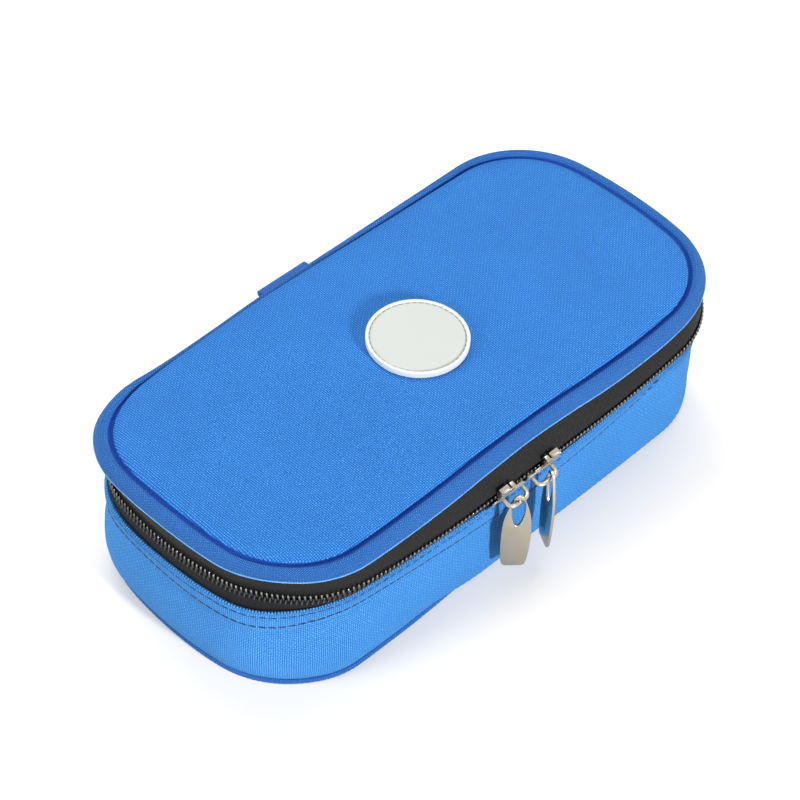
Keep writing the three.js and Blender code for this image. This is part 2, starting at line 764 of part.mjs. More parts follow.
// Divider flap: a board between two faces, bound round its edge, resting on the packs
const dividerOut = linerIn - dividerInset;
const halfBoard = boardThickness / 2;
const dividerHeight = packBottom + packThickness + 2 * clearance + faceThickness + halfBoard;
const dividerCore = dividerOut - dividerBindingWidth - clearance;
addPiece('divider_board', layered(baseOutline, [
  [dividerCore, dividerHeight - halfBoard],
  [dividerCore, dividerHeight + halfBoard],
]), boardGrey);
addPiece('divider_cover', layered(baseOutline, [
  [dividerCore, dividerHeight + halfBoard + clearance],
  [dividerCore, dividerHeight + halfBoard + clearance + faceThickness],
]), fabricBlue);
addPiece('divider_foil', layered(baseOutline, [
  [dividerCore, dividerHeight - halfBoard - clearance],
  [dividerCore, dividerHeight - halfBoard - clearance - faceThickness],
]), foilSilver, 0.35, 0.4);
const dividerRound = dividerBindingWidth / 3;
addPiece('divider_binding', band(baseOutline, () => [
  [dividerOut - dividerBindingWidth, dividerHeight - dividerBindingHeight / 2],
  [dividerOut - dividerRound, dividerHeight - dividerBindingHeight / 2],
  [dividerOut, dividerHeight - dividerBindingHeight / 2 + dividerRound],
  [dividerOut, dividerHeight + dividerBindingHeight / 2 - dividerRound],
  [dividerOut - dividerRound, dividerHeight + dividerBindingHeight / 2],
  [dividerOut - dividerBindingWidth, dividerHeight + dividerBindingHeight / 2],
], true), bindingBlue);
const dividerTop = dividerHeight + halfBoard + clearance + faceThickness + clearance;

// The strip that the divider hangs on. It runs up the liner's back wall and folds at the rim.
const dividerHingeLength = spineLength - 2 * penLoopBand;
const stripBack = linerBack - clearance;
const stripBottom = dividerHeight - dividerBindingHeight / 2;
const stripProfile = new THREE.Shape([
  new THREE.Vector2(baseBack + dividerOut + clearance, stripBottom),
  new THREE.Vector2(stripBack, stripBottom),
  new THREE.Vector2(stripBack, rimTop),
  new THREE.Vector2(stripBack - faceThickness, rimTop),
  new THREE.Vector2(stripBack - faceThickness, stripBottom + faceThickness),
  new THREE.Vector2(baseBack + dividerOut + clearance, stripBottom + faceThickness),
]);
const stripGeometry = slab(stripProfile, dividerHingeLength, 1);
stripGeometry.rotateX(Math.PI / 2);
stripGeometry.rotateZ(Math.PI / 2);
stripGeometry.translate(-dividerHingeLength / 2, 0, 0);
addPiece('divider_hinge_strip', stripGeometry, bindingBlue);

// Elastic pen loops: one band humped over the pens at each end of the divider
const penLoopTop = netTop - netBindingThickness - penLoopHeadroom;
function penLoops() {
  const shape = new THREE.Shape();
  const end = baseBack + dividerCore - penLoopMargin;
  const penLoopPitch = (2 * end) / penLoopCount;
  const outerHalf = (penLoopPitch - penLoopFlat) / 2;
  const innerHalf = outerHalf - penLoopThickness;
  const spring = penLoopTop - dividerTop - outerHalf;
  const middles = [];
  for (let i = 0; i < penLoopCount; i += 1) {
    middles.push((i - (penLoopCount - 1) / 2) * penLoopPitch);
  }
  shape.moveTo(end, 0);
  shape.lineTo(end, penLoopThickness);
  for (const middle of middles.slice().reverse()) {
    shape.lineTo(middle + outerHalf, penLoopThickness);
    shape.absarc(middle, spring, outerHalf, 0, Math.PI);
    shape.lineTo(middle - outerHalf, penLoopThickness);
  }
  shape.lineTo(-end, penLoopThickness);
  shape.lineTo(-end, 0);
  for (const middle of middles) {
    shape.lineTo(middle - innerHalf, 0);
    shape.absarc(middle, spring, innerHalf, Math.PI, 0, true);
    shape.lineTo(middle + innerHalf, 0);
  }
  const geometry = slab(shape, penLoopBand, 4);
  geometry.rotateX(Math.PI / 2);
  geometry.rotateZ(Math.PI / 2);
  geometry.translate(-penLoopBand / 2, 0, dividerTop);
  return geometry;
}
const penLoopPlace = baseLength / 2 + dividerCore - penLoopInset;
addPiece('pen_loops_left', penLoops(), zipBlack).position.x = -penLoopPlace;
addPiece('pen_loops_right', penLoops(), zipBlack).position.x = penLoopPlace;

// Pull tab that lifts the divider, folded over its front edge
const tabFront = -baseBack - dividerCore + clearance;
addPiece('divider_pull_tab', boxBetween(
  -pullTabWidth / 2, pullTabWidth / 2,
  tabFront, tabFront + pullTabLength,
  dividerTop, dividerTop + pullTabThickness,
), zipBlack);

export default insulinCase;
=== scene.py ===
import math

import bpy
from mathutils import Matrix, Vector, noise


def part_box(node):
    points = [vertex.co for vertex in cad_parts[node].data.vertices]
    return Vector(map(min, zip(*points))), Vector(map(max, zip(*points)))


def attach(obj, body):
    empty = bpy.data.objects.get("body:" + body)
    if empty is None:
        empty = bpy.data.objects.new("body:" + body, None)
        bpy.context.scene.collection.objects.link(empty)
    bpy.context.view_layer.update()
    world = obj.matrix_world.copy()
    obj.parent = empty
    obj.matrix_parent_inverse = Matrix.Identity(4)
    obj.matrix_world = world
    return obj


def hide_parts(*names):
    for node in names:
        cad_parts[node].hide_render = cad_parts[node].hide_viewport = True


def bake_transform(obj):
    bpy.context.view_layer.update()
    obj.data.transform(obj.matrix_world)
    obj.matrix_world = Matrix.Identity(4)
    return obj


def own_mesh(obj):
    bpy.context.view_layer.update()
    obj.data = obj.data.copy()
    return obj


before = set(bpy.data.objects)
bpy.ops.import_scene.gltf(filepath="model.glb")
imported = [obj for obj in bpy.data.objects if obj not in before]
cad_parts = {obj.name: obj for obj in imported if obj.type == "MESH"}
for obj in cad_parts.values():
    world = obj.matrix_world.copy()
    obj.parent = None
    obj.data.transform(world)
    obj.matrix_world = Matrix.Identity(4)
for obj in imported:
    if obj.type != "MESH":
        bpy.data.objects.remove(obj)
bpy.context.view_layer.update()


# ---- Camera, floor and lights ----
# The camera stands in front of the case, to its left and above. The case lies on a white table
# under broad lamps behind it, above it and at its left and a smaller one in front, in a white room.
mm = 0.001
camera_place = Vector((-405.4, -367.0, 602.4)) * mm
camera_right = Vector((0.7056, -0.7074, 0.0403))
camera_up = Vector((0.4936, 0.5316, 0.6883))
camera_back = camera_right.cross(camera_up)
camera_turn = Matrix((camera_right, camera_up, camera_back)).transposed()
bpy.ops.object.camera_add(location=camera_place, rotation=camera_turn.to_euler())
camera = bpy.context.object
camera.data.lens = 114.6
camera.data.sensor_width = 36
camera.data.clip_start = 0.02
bpy.context.scene.camera = camera
bpy.context.scene.view_settings.view_transform = "Standard"


def fill(made, inputs):
    """Joins or fills a node's inputs."""
    for key, value in inputs.items():
        if isinstance(value, bpy.types.NodeSocket):
            made.id_data.links.new(value, made.inputs[key])
        else:
            made.inputs[key].default_value = value


def node(tree, kind, inputs=None, **settings):
    """Adds a node, sets it and joins or fills its inputs."""
    made = tree.nodes.new(kind)
    for key, value in settings.items():
        setattr(made, key, value)
    fill(made, inputs or {})
    return made


def math_of(tree, operation, *values):
    """The result of a Math node on one, two or three values."""
    return node(tree, "ShaderNodeMath", dict(enumerate(values)), operation=operation).outputs[0]


def blank_material(name):
    """A new material with its surface shader, and the tree they stand in."""
    material = bpy.data.materials.new(name)
    material.use_nodes = True
    return material, material.node_tree, material.node_tree.nodes["Principled BSDF"]


world = bpy.data.worlds.new("white_room")
bpy.context.scene.world = world
world.use_nodes = True
room = world.node_tree
room_light = room.nodes["Background"]
fill(room_light, {"Color": (1.0, 0.97, 0.91, 1), "Strength": 0.22})
seen_white = node(room, "ShaderNodeBackground", {"Color": (1, 1, 1, 1), "Strength": 1.0})
ray = node(room, "ShaderNodeLightPath").outputs
room_mix = node(room, "ShaderNodeMixShader", {
    0: math_of(room, "MAXIMUM", ray["Is Camera Ray"], ray["Is Glossy Ray"]),
    1: room_light.outputs[0], 2: seen_white.outputs[0]})
fill(room.nodes["World Output"], {"Surface": room_mix.outputs[0]})

bpy.ops.mesh.primitive_plane_add(size=6, location=(0, 0, -0.05 * mm))
table = bpy.context.object
table.name = "white_table"
table_white, tree, shader = blank_material("table_white")
fill(shader, {"Base Color": (0.78, 0.75, 0.71, 1), "Roughness": 0.7, "Specular IOR Level": 0.1})
seen = node(tree, "ShaderNodeLightPath").outputs["Is Camera Ray"]
glow = node(tree, "ShaderNodeEmission", {
    "Color": (0.98, 0.99, 1.0, 1), "Strength": math_of(tree, "MULTIPLY", seen, 0.24)})
lit = node(tree, "ShaderNodeAddShader", {0: shader.outputs[0], 1: glow.outputs[0]})
fill(tree.nodes["Material Output"], {"Surface": lit.outputs[0]})

table.data.materials.append(table_white)

# name, place, size in metres, power in watts
lamps = (
    ("lamp_behind", (0.25, 0.80, 1.00), 0.8, 7.6),
    ("lamp_in_front", (-0.08, -1.14, 0.42), 0.16, 16.5),
    ("lamp_at_left", (-1.05, 0.42, 0.50), 0.7, 11.0),
    ("lamp_above", (0.45, 0.25, 1.30), 0.8, 6.6),
)
for name, place, size, power in lamps:
    aim = (Vector((0, 0, 0.03)) - Vector(place)).to_track_quat("-Z", "Y").to_euler()
    bpy.ops.object.light_add(type="AREA", location=place, rotation=aim)
    lamp = bpy.context.object
    lamp.name = name
    lamp.data.shape = "DISK"
    lamp.data.size = size
    lamp.data.energy = power


# ---- Bottom panel ----
# The flat underside is one piece of the blue woven polyester, cut to the case's bowed outline and
# sewn to the wall inside the piped seam.
def bowed_outline(length, width, corner, step=2.0):
    """Stations round a rounded outline with bowed sides: x, y, outward x, outward y, way walked."""
    side_bow, end_bow = 0.8, 8.0
    a, b = length / 2, width / 2
    side_radius = (a * a + side_bow ** 2) / (2 * side_bow)
    end_radius = (b * b + end_bow ** 2) / (2 * end_bow)
    side_centre = Vector((0, b - side_radius))
    end_centre = Vector((a - end_radius, 0))
    between = end_centre - side_centre
    r1, r2 = side_radius - corner, end_radius - corner
    ahead = (between.length ** 2 + r1 ** 2 - r2 ** 2) / (2 * between.length)
    across = math.sqrt(r1 ** 2 - ahead ** 2)
    unit = between.normalized()
    centre = side_centre + unit * ahead + Vector((unit.y, -unit.x)) * across
    side_turn = math.atan2(centre.y - side_centre.y, centre.x - side_centre.x)
    end_turn = math.atan2(centre.y - end_centre.y, centre.x - end_centre.x)
    flip = math.pi
    arcs = (
        (0, side_centre.y, side_radius, side_turn, flip - side_turn),
        (-centre.x, centre.y, corner, flip - side_turn, flip - end_turn),
        (-end_centre.x, 0, end_radius, flip - end_turn, flip + end_turn),
        (-centre.x, -centre.y, corner, flip + end_turn, flip + side_turn),
        (0, -side_centre.y, side_radius, flip + side_turn, 2 * flip - side_turn),
        (centre.x, -centre.y, corner, 2 * flip - side_turn, 2 * flip - end_turn),
        (end_centre.x, 0, end_radius, 2 * flip - end_turn, 2 * flip + end_turn),
        (centre.x, centre.y, corner, end_turn, side_turn),
    )
    stations, walked = [], 0.0
    for cx, cy, radius, start, stop in arcs:
        turn = (stop - start) % (2 * flip)
        parts = max(3, round(radius * turn / step))
        for i in range(parts):
            angle = start + turn * i / parts
            nx, ny = math.cos(angle), math.sin(angle)
            stations.append((cx + radius * nx, cy + radius * ny, nx, ny, walked))
            walked += radius * turn / parts
    x, y, nx, ny, _ = stations[0]
    return stations + [(x, y, nx, ny, walked)]


def way_round(outline, walked):
    """Where a station lies: 0 front's middle, 1 left end's, 2 back's, 3 right end's, 4 front's."""
    past_middle = walked - outline[0][0]      # the outline starts to the right of the back's middle
    return (2.0 - 4.0 * past_middle / outline[-1][4]) % 4.0


def along(table, way):
    """A smooth value from (way round, value) rows. Rows that end at 2 serve both ends alike."""
    last = len(table) - 1
    if way > table[last][0]:
        way = 4.0 - way
    k = next((i for i in range(last) if way <= table[i + 1][0]), last - 1)
    slopes = [0.0 if i in (0, last) else
              (table[i + 1][1] - table[i - 1][1]) / (table[i + 1][0] - table[i - 1][0])
              for i in (k, k + 1)]
    (w0, v0), (w1, v1) = table[k], table[k + 1]
    t = (way - w0) / (w1 - w0)
    bend = (w1 - w0) * (slopes[0] * (1 - t) - slopes[1] * t) * t * (1 - t)
    return v0 + (v1 - v0) * t * t * (3 - 2 * t) + bend


base_size = (200.2, 95.7, 30.6)      # length, width and corner radius in mm
base_round = bowed_outline(*base_size)
# how far the bottom seam is pulled in from the outline, in mm, by way round
seam_tuck = ((0, 1.6), (0.2, 0.6), (0.36, -0.2), (0.47, -0.3), (0.56, 0), (0.64, 0.8), (0.73, 0.9),
             (0.86, 0.2), (1, 0.1), (1.14, 0.3), (1.3, 1.2), (1.45, 0.8), (1.6, 0.4), (2, 0.5),
             (2.6, 0.6), (3, 0.9), (3.28, 1.6), (3.43, 1.7), (3.66, 1.6), (4, 1.6))


def tucked(outline):
    """An outline's stations moved to where the bottom seam really runs."""
    moved = []
    for x, y, nx, ny, walked in outline:
        tuck = along(seam_tuck, way_round(outline, walked))
        moved.append((x - tuck * nx, y - tuck * ny, nx, ny, walked))
    return moved


def take(piece):
    """Makes a piece the active one, and the only one that is selected."""
    bpy.ops.object.select_all(action="DESELECT")
    piece.select_set(True)
    bpy.context.view_layer.objects.active = piece


def edit(piece, *steps):
    """Goes into edit mode on one piece, runs the steps in turn and comes out again."""
    take(piece)
    bpy.ops.object.mode_set(mode="EDIT")
    bpy.ops.mesh.select_all(action="SELECT")
    for step in steps:
        step()
    bpy.ops.object.mode_set(mode="OBJECT")


def face_out():
    """In edit mode, turns every face outward."""
    bpy.ops.mesh.select_all(action="SELECT")
    bpy.ops.mesh.normals_make_consistent(inside=False)


def modify(piece, kind, **settings):
    """Adds a modifier, sets it and applies it."""
    modifier = piece.modifiers.new(kind, kind)
    for key, value in settings.items():
        setattr(modifier, key, value)
    take(piece)
    bpy.ops.object.modifier_apply(modifier=modifier.name)


def soften(piece, width, segments=2, degrees=60):
    """Rounds the edges that are sharper than an angle."""
    modify(piece, "BEVEL", width=width * mm, segments=segments, limit_method="ANGLE",
           angle_limit=math.radians(degrees))


def flat_uv(piece):
    """A UV map in metres, laid flat from above."""
    layer = piece.data.uv_layers.active or piece.data.uv_layers.new(name="cloth")
    for loop in piece.data.loops:
        layer.data[loop.index].uv = piece.data.vertices[loop.vertex_index].co.xy


def smooth(piece, degrees=35):
    """Smooth shading, with edges sharper than the angle kept."""
    take(piece)
    bpy.ops.object.shade_smooth_by_angle(angle=math.radians(degrees))


def settle(piece, material, body, slot, *nodes, degrees=35):
    """Gives a finished piece its material and its body, and hides the nodes that it stands for. The
    slot is not used.
    """
    piece.data.materials.clear()
    piece.data.materials.append(material)
    smooth(piece, degrees)
    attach(piece, body)
    if nodes:
        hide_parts(*nodes)
    return piece


def cut_out(name, points, low, high, order=(0, 1, 2)):
    """A plate cut to points in mm, from low to high. The order says which axis each runs along."""
    bpy.ops.mesh.primitive_circle_add(vertices=len(points), radius=0.01, fill_type="NGON")
    piece = bpy.context.object
    piece.name = name
    for vertex, (x, y) in zip(piece.data.vertices, points):
        vertex.co = Vector([(x, y, low)[i] for i in order]) * mm
    rise = [(0, 0, (high - low) * mm)[i] for i in order]
    edit(piece, lambda: bpy.ops.mesh.extrude_region_move(
        TRANSFORM_OT_translate={"value": rise}), face_out)
    return piece


def slab_of(name, points, low, high, soft):
    """A flat slab cut to points, from low to high, with softened edges."""
    piece = cut_out(name, points, low, high)
    soften(piece, soft)
    flat_uv(piece)
    return piece


def flat_panel(name, outline, out, low, high, soft):
    """A flat panel cut to an outline, with softened edges."""
    points = [(x + out * nx, y + out * ny) for x, y, nx, ny, _ in outline[:-1]]
    return slab_of(name, points, low, high, soft)


def noise_of(tree, place, scale, detail, **more):
    """An uneven value from 0 to 1 over a piece."""
    return node(tree, "ShaderNodeTexNoise", {
        "Vector": place, "Scale": scale, "Detail": detail, **more}).outputs["Fac"]


def mix_of(tree, share, first, second, **settings):
    """A colour between two others, each a colour or the result of a node."""
    first, second = ((*c, 1) if isinstance(c, tuple) else c for c in (first, second))
    return node(tree, "ShaderNodeMix", {0: share, 6: first, 7: second},
                data_type="RGBA", **settings).outputs[2]


def bump_of(tree, height, distance, strength):
    """Fine relief, with its depth in mm."""
    return node(tree, "ShaderNodeBump", {
        "Height": height, "Distance": distance * mm, "Strength": strength}).outputs[0]


def woven(name, base, pale, deep, warp=0.62, weft=0.55, turn=0.0, relief=0.2, sheen=0.2,
          sheen_tint=(0.30, 0.66, 1.0), roughness=0.8, sparkle=2.4, uneven=1.3):
    """Plain-woven cloth on the piece's UV map, which is in metres. The deep colour in the gaps
    between yarns is painted shade, and the pale colour on the upper yarns' tops is a painted
    highlight.
    """
    blotch = 0.12
    material, tree, shader = blank_material(name)
    place = node(tree, "ShaderNodeMapping", {
        "Vector": node(tree, "ShaderNodeUVMap").outputs[0], "Rotation": (0, 0, turn)}).outputs[0]
    split = node(tree, "ShaderNodeSeparateXYZ", {0: place})
    sway = math_of(tree, "MULTIPLY_ADD", noise_of(tree, place, 240.0, 2.0), uneven, -uneven / 2)
    u = math_of(tree, "MULTIPLY_ADD", split.outputs["X"], math.pi / (warp * mm), sway)
    v = math_of(tree, "MULTIPLY_ADD", split.outputs["Y"], math.pi / (weft * mm), sway)
    crossing = math_of(tree, "MULTIPLY", math_of(tree, "SINE", u), math_of(tree, "SINE", v))
    hump = math_of(tree, "POWER", math_of(tree, "ABSOLUTE", crossing), 0.75)
    over = math_of(tree, "MULTIPLY_ADD", crossing, 0.5, 0.5)
    fleck = noise_of(tree, place, 1500.0, 3.0, Roughness=0.6)
    broad = noise_of(tree, place, 35.0, 4.0, Roughness=0.6)
    shine = math_of(tree, "MULTIPLY", math_of(tree, "MULTIPLY", over, hump),
                    math_of(tree, "MULTIPLY_ADD", fleck, sparkle, 0.45 - 0.5 * sparkle))
    shine_held = node(tree, "ShaderNodeClamp", {0: shine}).outputs[0]
    # painted shade in the gaps between yarns, painted highlight on the tops of the upper yarns
    yarn = mix_of(tree, shine_held, mix_of(tree, hump, deep, base), pale)
    shade = math_of(tree, "MULTIPLY_ADD", broad, 2 * blotch, 1 - blotch)
    tint = node(tree, "ShaderNodeCombineColor", {0: shade, 1: shade, 2: shade}).outputs[0]
    height = math_of(tree, "MULTIPLY_ADD", over, 0.5, hump)
    fill(shader, {
        "Base Color": mix_of(tree, 1.0, yarn, tint, blend_type="MULTIPLY"),
        "Normal": bump_of(tree, height, relief, 0.8), "Roughness": roughness,
        "Sheen Weight": sheen, "Sheen Roughness": 0.35, "Sheen Tint": (*sheen_tint, 1),
        "Specular IOR Level": 0.15})
    return material


# The walls' blue cloth is a lighter copy of the lid's cloth: painted light for the walls' brighter
# sheen.
blue_cloth = woven("blue_cloth", (0.052, 0.32, 0.90), (0.19, 0.58, 0.98), (0.007, 0.078, 0.28),
                   warp=0.66, weft=0.58, relief=0.3, uneven=3.0)
bottom_panel = flat_panel("bottom_panel", tucked(base_round), -0.75, 0.0, 0.9, soft=0.25)
settle(bottom_panel, blue_cloth, "base", "blue_fabric", "base_bottom_panel")


# ---- Piped bottom seam ----
# A bias strip of the same cloth is rolled over the raw edges where the wall meets the bottom, and
# a row of dark stitches holds it.
def measured(points):
    """How far along a line each of its points lies."""
    lengths = [0.0]
    for before, here in zip(points, points[1:]):
        lengths.append(lengths[-1] + math.dist(before, here))
    return lengths


def laid_out(name, rows, us, vs=None):
    """A grid primitive whose rows are laid where they belong. UVs are in metres, places in mm."""
    columns = len(rows[0])
    vs = vs or measured(rows[0])
    bpy.ops.mesh.primitive_grid_add(
        x_subdivisions=columns - 1, y_subdivisions=len(rows) - 1, size=0.1)
    piece = bpy.context.object
    piece.name = name
    piece.data.vertices.foreach_set("co", [c * mm for row in rows for point in row for c in point])
    layer = piece.data.uv_layers.active
    for loop in piece.data.loops:
        row, column = divmod(loop.vertex_index, columns)
        layer.data[loop.index].uv = (us[row] * mm, vs[column] * mm)
    piece.data.update()
    edit(piece, lambda: bpy.ops.mesh.remove_doubles(threshold=0.000002), face_out)
    return piece


def run_round(name, outline, section_at, whole=None):
    """A band that follows an outline. section_at gives its (out, height) points by way round."""
    rows = []
    for x, y, nx, ny, walked in outline:
        section = section_at(way_round(whole or outline, walked), walked)
        rows.append([(x + out * nx, y + out * ny, z) for out, z in section + section[:1]])
    return laid_out(name, rows, [s[4] for s in outline])


def wobble(walked, size, seed):
    """A gentle unevenness along a seam, which joins up after one way round."""
    angle = 2 * math.pi * walked / base_round[-1][4]
    reach = base_round[-1][4] / (2 * math.pi * size)
    return noise.noise(Vector((math.cos(angle) * reach, math.sin(angle) * reach, seed)))


blue_bias = woven("blue_bias", (0.030, 0.172, 0.60), (0.11, 0.365, 0.79), (0.003, 0.034, 0.16),
                  warp=0.62, weft=0.56, turn=math.radians(45), relief=0.25, uneven=1.8)
fine_base_round = bowed_outline(*base_size, step=0.55)


def piping_section(way, walked):
    points = []
    for i in range(10):
        angle = 2 * math.pi * i / 10
        reach = 1 + 0.05 * math.sin(2 * math.pi * walked / 1.65 + angle)
        points.append((-0.15 + 0.78 * reach * math.cos(angle) + 0.10 * wobble(walked, 9, 1),
                       1.02 + 0.98 * reach * math.sin(angle)))
    return points


piping = run_round("piping", tucked(fine_base_round), piping_section)
settle(piping, blue_bias, "base", "blue_binding", "base_piping")


# ---- Side wall ----
# One strip of the blue cloth runs round the case over thin foam. Its top edge is folded in and
# stitched twice to the zip, which draws it in and up at the corners and lets it hang out in front.
# how far out and up the zip holds the hem, in mm, by way round
hem_out = ((0, 1.25), (0.12, 1.15), (0.24, 0.55), (0.36, 0.1), (0.47, -0.55), (0.57, -1.35),
           (0.66, -1.2), (0.76, -0.3), (0.86, 0.3), (1, 0.7), (1.14, 1.2), (1.28, 0.7),
           (1.42, -0.3), (1.5, 0), (2, 0), (2.5, 0), (2.7, 0.3), (3, 0.6), (3.28, 0.4), (3.43, 0.2),
           (3.55, 0.3), (3.66, 0.6), (3.77, 0.9), (3.88, 1.15), (4, 1.25))
hem_rise = ((0, 0), (0.22, 0.2), (0.34, 0.6), (0.45, 1.2), (0.58, 2.3), (0.68, 2.1), (0.8, 1.1),
            (1, 0.4), (1.2, 1), (1.3, 1.3), (1.42, 0.5), (1.5, 0), (2, 0), (2.6, 0), (3, 0.2),
            (3.2, 0.6), (3.37, 1.2), (3.43, 1.3), (3.55, 0.6), (3.66, -0.1), (3.77, -0.3), (4, 0))
# how much the padded wall bulges below the hem, and how much higher its stitches run
wall_bulge = ((0, 1), (0.3, 0.9), (0.57, 0.8), (0.72, 0.9), (1, 1.6), (1.2, 1.9), (1.4, 0.9),
              (1.6, 0.5), (2, 0.4), (2.5, 0.4), (3, 0.8), (3.28, 0.7), (3.43, 0.8), (3.7, 1.1),
              (4, 1))
line_rise = ((0, 0), (0.22, 0.8), (0.34, 1.8), (0.455, 2.6), (0.57, 3), (0.64, 2.4), (0.74, 0.9),
             (0.87, 0.7), (1, 1.7), (1.1, 2.3), (1.22, 1.6), (1.4, 0), (2, 0), (2.7, 0), (3, 1.2),
             (3.3, 3.4), (3.43, 3.8), (3.55, 3.4), (3.66, 2.6), (3.78, 1.3), (4, 0))
# where the wall rolls out over the bottom seam and hides it, from 0 to 1
foot = ((0, 1), (0.14, 0.8), (0.25, 0.2), (0.32, 0), (2, 0), (2.7, 0), (2.95, 0.4), (3.12, 0.9),
        (3.3, 1), (4, 1))


def wall_point(way, out, z):
    """Where a point of the plain wall really lies, drawn by the zip above and the seam below."""
    low, hem, top = 2, 24, 30                      # heights of the seam, the hem and the zip
    t = max(0.0, min(1.0, (z - low) / (top - low)))
    moved = -along(seam_tuck, way) * (1 - t) ** 2.2 + along(hem_out, way) * t ** 1.2
    if out > -0.9 and low < z < hem:
        moved += along(wall_bulge, way) * math.sin(math.pi * ((z - low) / (hem - low)) ** 0.6)
    lines = max(0.0, min((z - 14) / 11, (31 - z) / 6))
    if z < 12:
        roll = along(foot, way) * (1 - max(0, z - low) / 10) ** 1.5
        moved += 2.3 * roll
        z -= 1.45 * roll
    innermost = -2.1 if z > 8 else -4.0
    return (max(out + moved, innermost),
            z + along(hem_rise, way) * t * t + along(line_rise, way) * lines)


wall_section = (
    (-1.00, 2.2), (-0.60, 2.0), (-0.15, 2.3), (0.12, 3.2), (0.34, 5.0), (0.52, 7.4), (0.62, 10.2),
    (0.64, 13.0), (0.58, 15.4), (0.48, 17.6), (0.32, 19.6), (0.18, 21.4), (0.08, 22.8),
    (0.10, 23.5), (0.42, 23.75), (0.60, 24.1), (0.58, 24.6), (0.32, 24.95), (0.58, 25.3),
    (0.70, 26.2), (0.74, 27.3), (0.68, 28.4), (0.58, 29.0), (0.32, 29.35), (0.55, 29.7),
    (0.50, 30.3), (0.30, 30.8), (-0.10, 31.0), (-0.60, 31.0), (-1.00, 30.7), (-1.00, 26.0),
    (-1.00, 20.0), (-1.00, 12.0),
)


def wall_at(way, walked):
    points = []
    for out, z in wall_section:
        open_share = max(0.0, min(1.0, (z - 3) / 4)) if out > -0.5 else 0
        waves = 0.42 * wobble(walked + 2 * z, 30, 2) + 0.18 * wobble(walked - 3 * z, 10, 3)
        if z > 23:
            waves = 0.12 * wobble(walked, 20, 4) + 0.08 * wobble(walked, 4, 5)
        points.append(wall_point(way, out + open_share * waves, z))
    return points


side_wall = run_round("side_wall", bowed_outline(*base_size, step=1.3), wall_at)
settle(side_wall, blue_cloth, "base", "blue_fabric", "base_side_wall", degrees=50)


def bead(half_length, half_width, half_height, segments=6, rings=6, blunt=0.7):
    """A small blunt-ended bead with its length along X, in mm."""
    bpy.ops.mesh.primitive_uv_sphere_add(segments=segments, ring_count=rings, radius=1)
    model = bpy.context.object
    for vertex in model.data.vertices:
        x, y, z = vertex.co
        ends = math.copysign(abs(z) ** blunt, z)
        vertex.co = (ends * half_length * mm, y * half_width * mm, x * half_height * mm)
    edit(model, face_out)
    return model


def joined(name, parts):
    """Parts joined into one piece."""
    take(parts[0])
    for part in parts:
        part.select_set(True)
    bpy.ops.object.join()
    parts[0].name = name
    return parts[0]


def copies(model, name, places):
    """Copies of a small model, each with its own mesh, joined into one piece."""
    made = []
    for place in places:
        copy = model.copy()
        copy.data = model.data.copy()
        copy.data.transform(place)
        bpy.context.collection.objects.link(copy)
        made.append(copy)
    bpy.data.objects.remove(model)
    return joined(name, made)


def walk(outline, pitch, start=0.0, stop=None):
    """Evenly spaced stations along an outline."""
    stop = outline[-1][4] if stop is None else stop
    count = max(1, round((stop - start) / pitch))
    found, k = [], 0
    for i in range(count):
        want = start + (stop - start) * (i + 0.5) / count
        while outline[k + 1][4] < want:
            k += 1
        a, b = outline[k], outline[k + 1]
        t = (want - a[4]) / (b[4] - a[4])
        found.append(tuple(a[j] + (b[j] - a[j]) * t for j in range(4)) + (want,))
    return found


def facing(x, y, z, nx, ny, tip=0.0):
    """A place whose X runs along the outline and whose Y points outward. Lengths are in mm."""
    out = Vector((nx * math.cos(tip), ny * math.cos(tip), -math.sin(tip)))
    way = Vector((-ny, nx, 0))
    up = way.cross(out)
    turn = Matrix((way, out, up)).transposed().to_4x4()
    return Matrix.Translation(Vector((x, y, z)) * mm) @ turn


def thread_finish(name, colour):
    """Twisted sewing thread, darker in the grooves of its twist as painted shade."""
    material, tree, shader = blank_material(name)
    twist = node(tree, "ShaderNodeTexWave", {
        "Vector": node(tree, "ShaderNodeTexCoord").outputs["Object"], "Scale": 900.0,
        "Distortion": 2.0, "Detail": 1.0}).outputs["Fac"]
    dark = tuple(c * 0.55 for c in colour)
    fill(shader, {"Base Color": mix_of(tree, twist, dark, colour), "Roughness": 0.7,
                  "Normal": bump_of(tree, twist, 0.05, 0.7)})
    return material


# The navy thread is nearly black: partly the thread's own navy, partly painted shade of the stitch
# holes.
navy_thread = thread_finish("navy_thread", (0.004, 0.022, 0.10))
blue_thread = thread_finish("blue_thread", (0.02, 0.12, 0.42))


def places_round(outline, pitch, place_at):
    """Places round an outline. place_at gives (out, height) by way round, or nothing."""
    places = []
    for x, y, nx, ny, walked in walk(outline, pitch):
        spot = place_at(way_round(outline, walked))
        if spot:
            places.append(facing(x + spot[0] * nx, y + spot[0] * ny, spot[1], nx, ny))
    return places


def sew(name, places, size, thread, body, slot):
    """Stitches at their places, each a bead of thread. The size is its half sizes in mm."""
    return settle(copies(bead(*size), name, places), thread, body, slot)


# how far each row climbs at the front, where it runs up to the zip and is lost under the coil
climb_low = ((0, 0), (3.2, 0), (3.3, 2.5), (3.4, 6), (3.515, 6), (3.545, 4.2), (3.58, 2.2),
             (3.62, 0.6), (3.67, 0), (4, 0))
climb_high = ((0, 0.6), (0.4, 0.5), (0.55, 0.2), (0.8, 0), (3.2, 0), (3.3, 2), (3.4, 4), (3.7, 4),
              (3.78, 1.9), (3.88, 0.9), (4, 0.6))


def hem_row(z, climb):
    def place_at(way):
        up = along(climb, way)
        if z + up < 30.2:
            return wall_point(way, 0.42 + min(0.24, 0.1 * up), z + up)
        return None
    return place_at


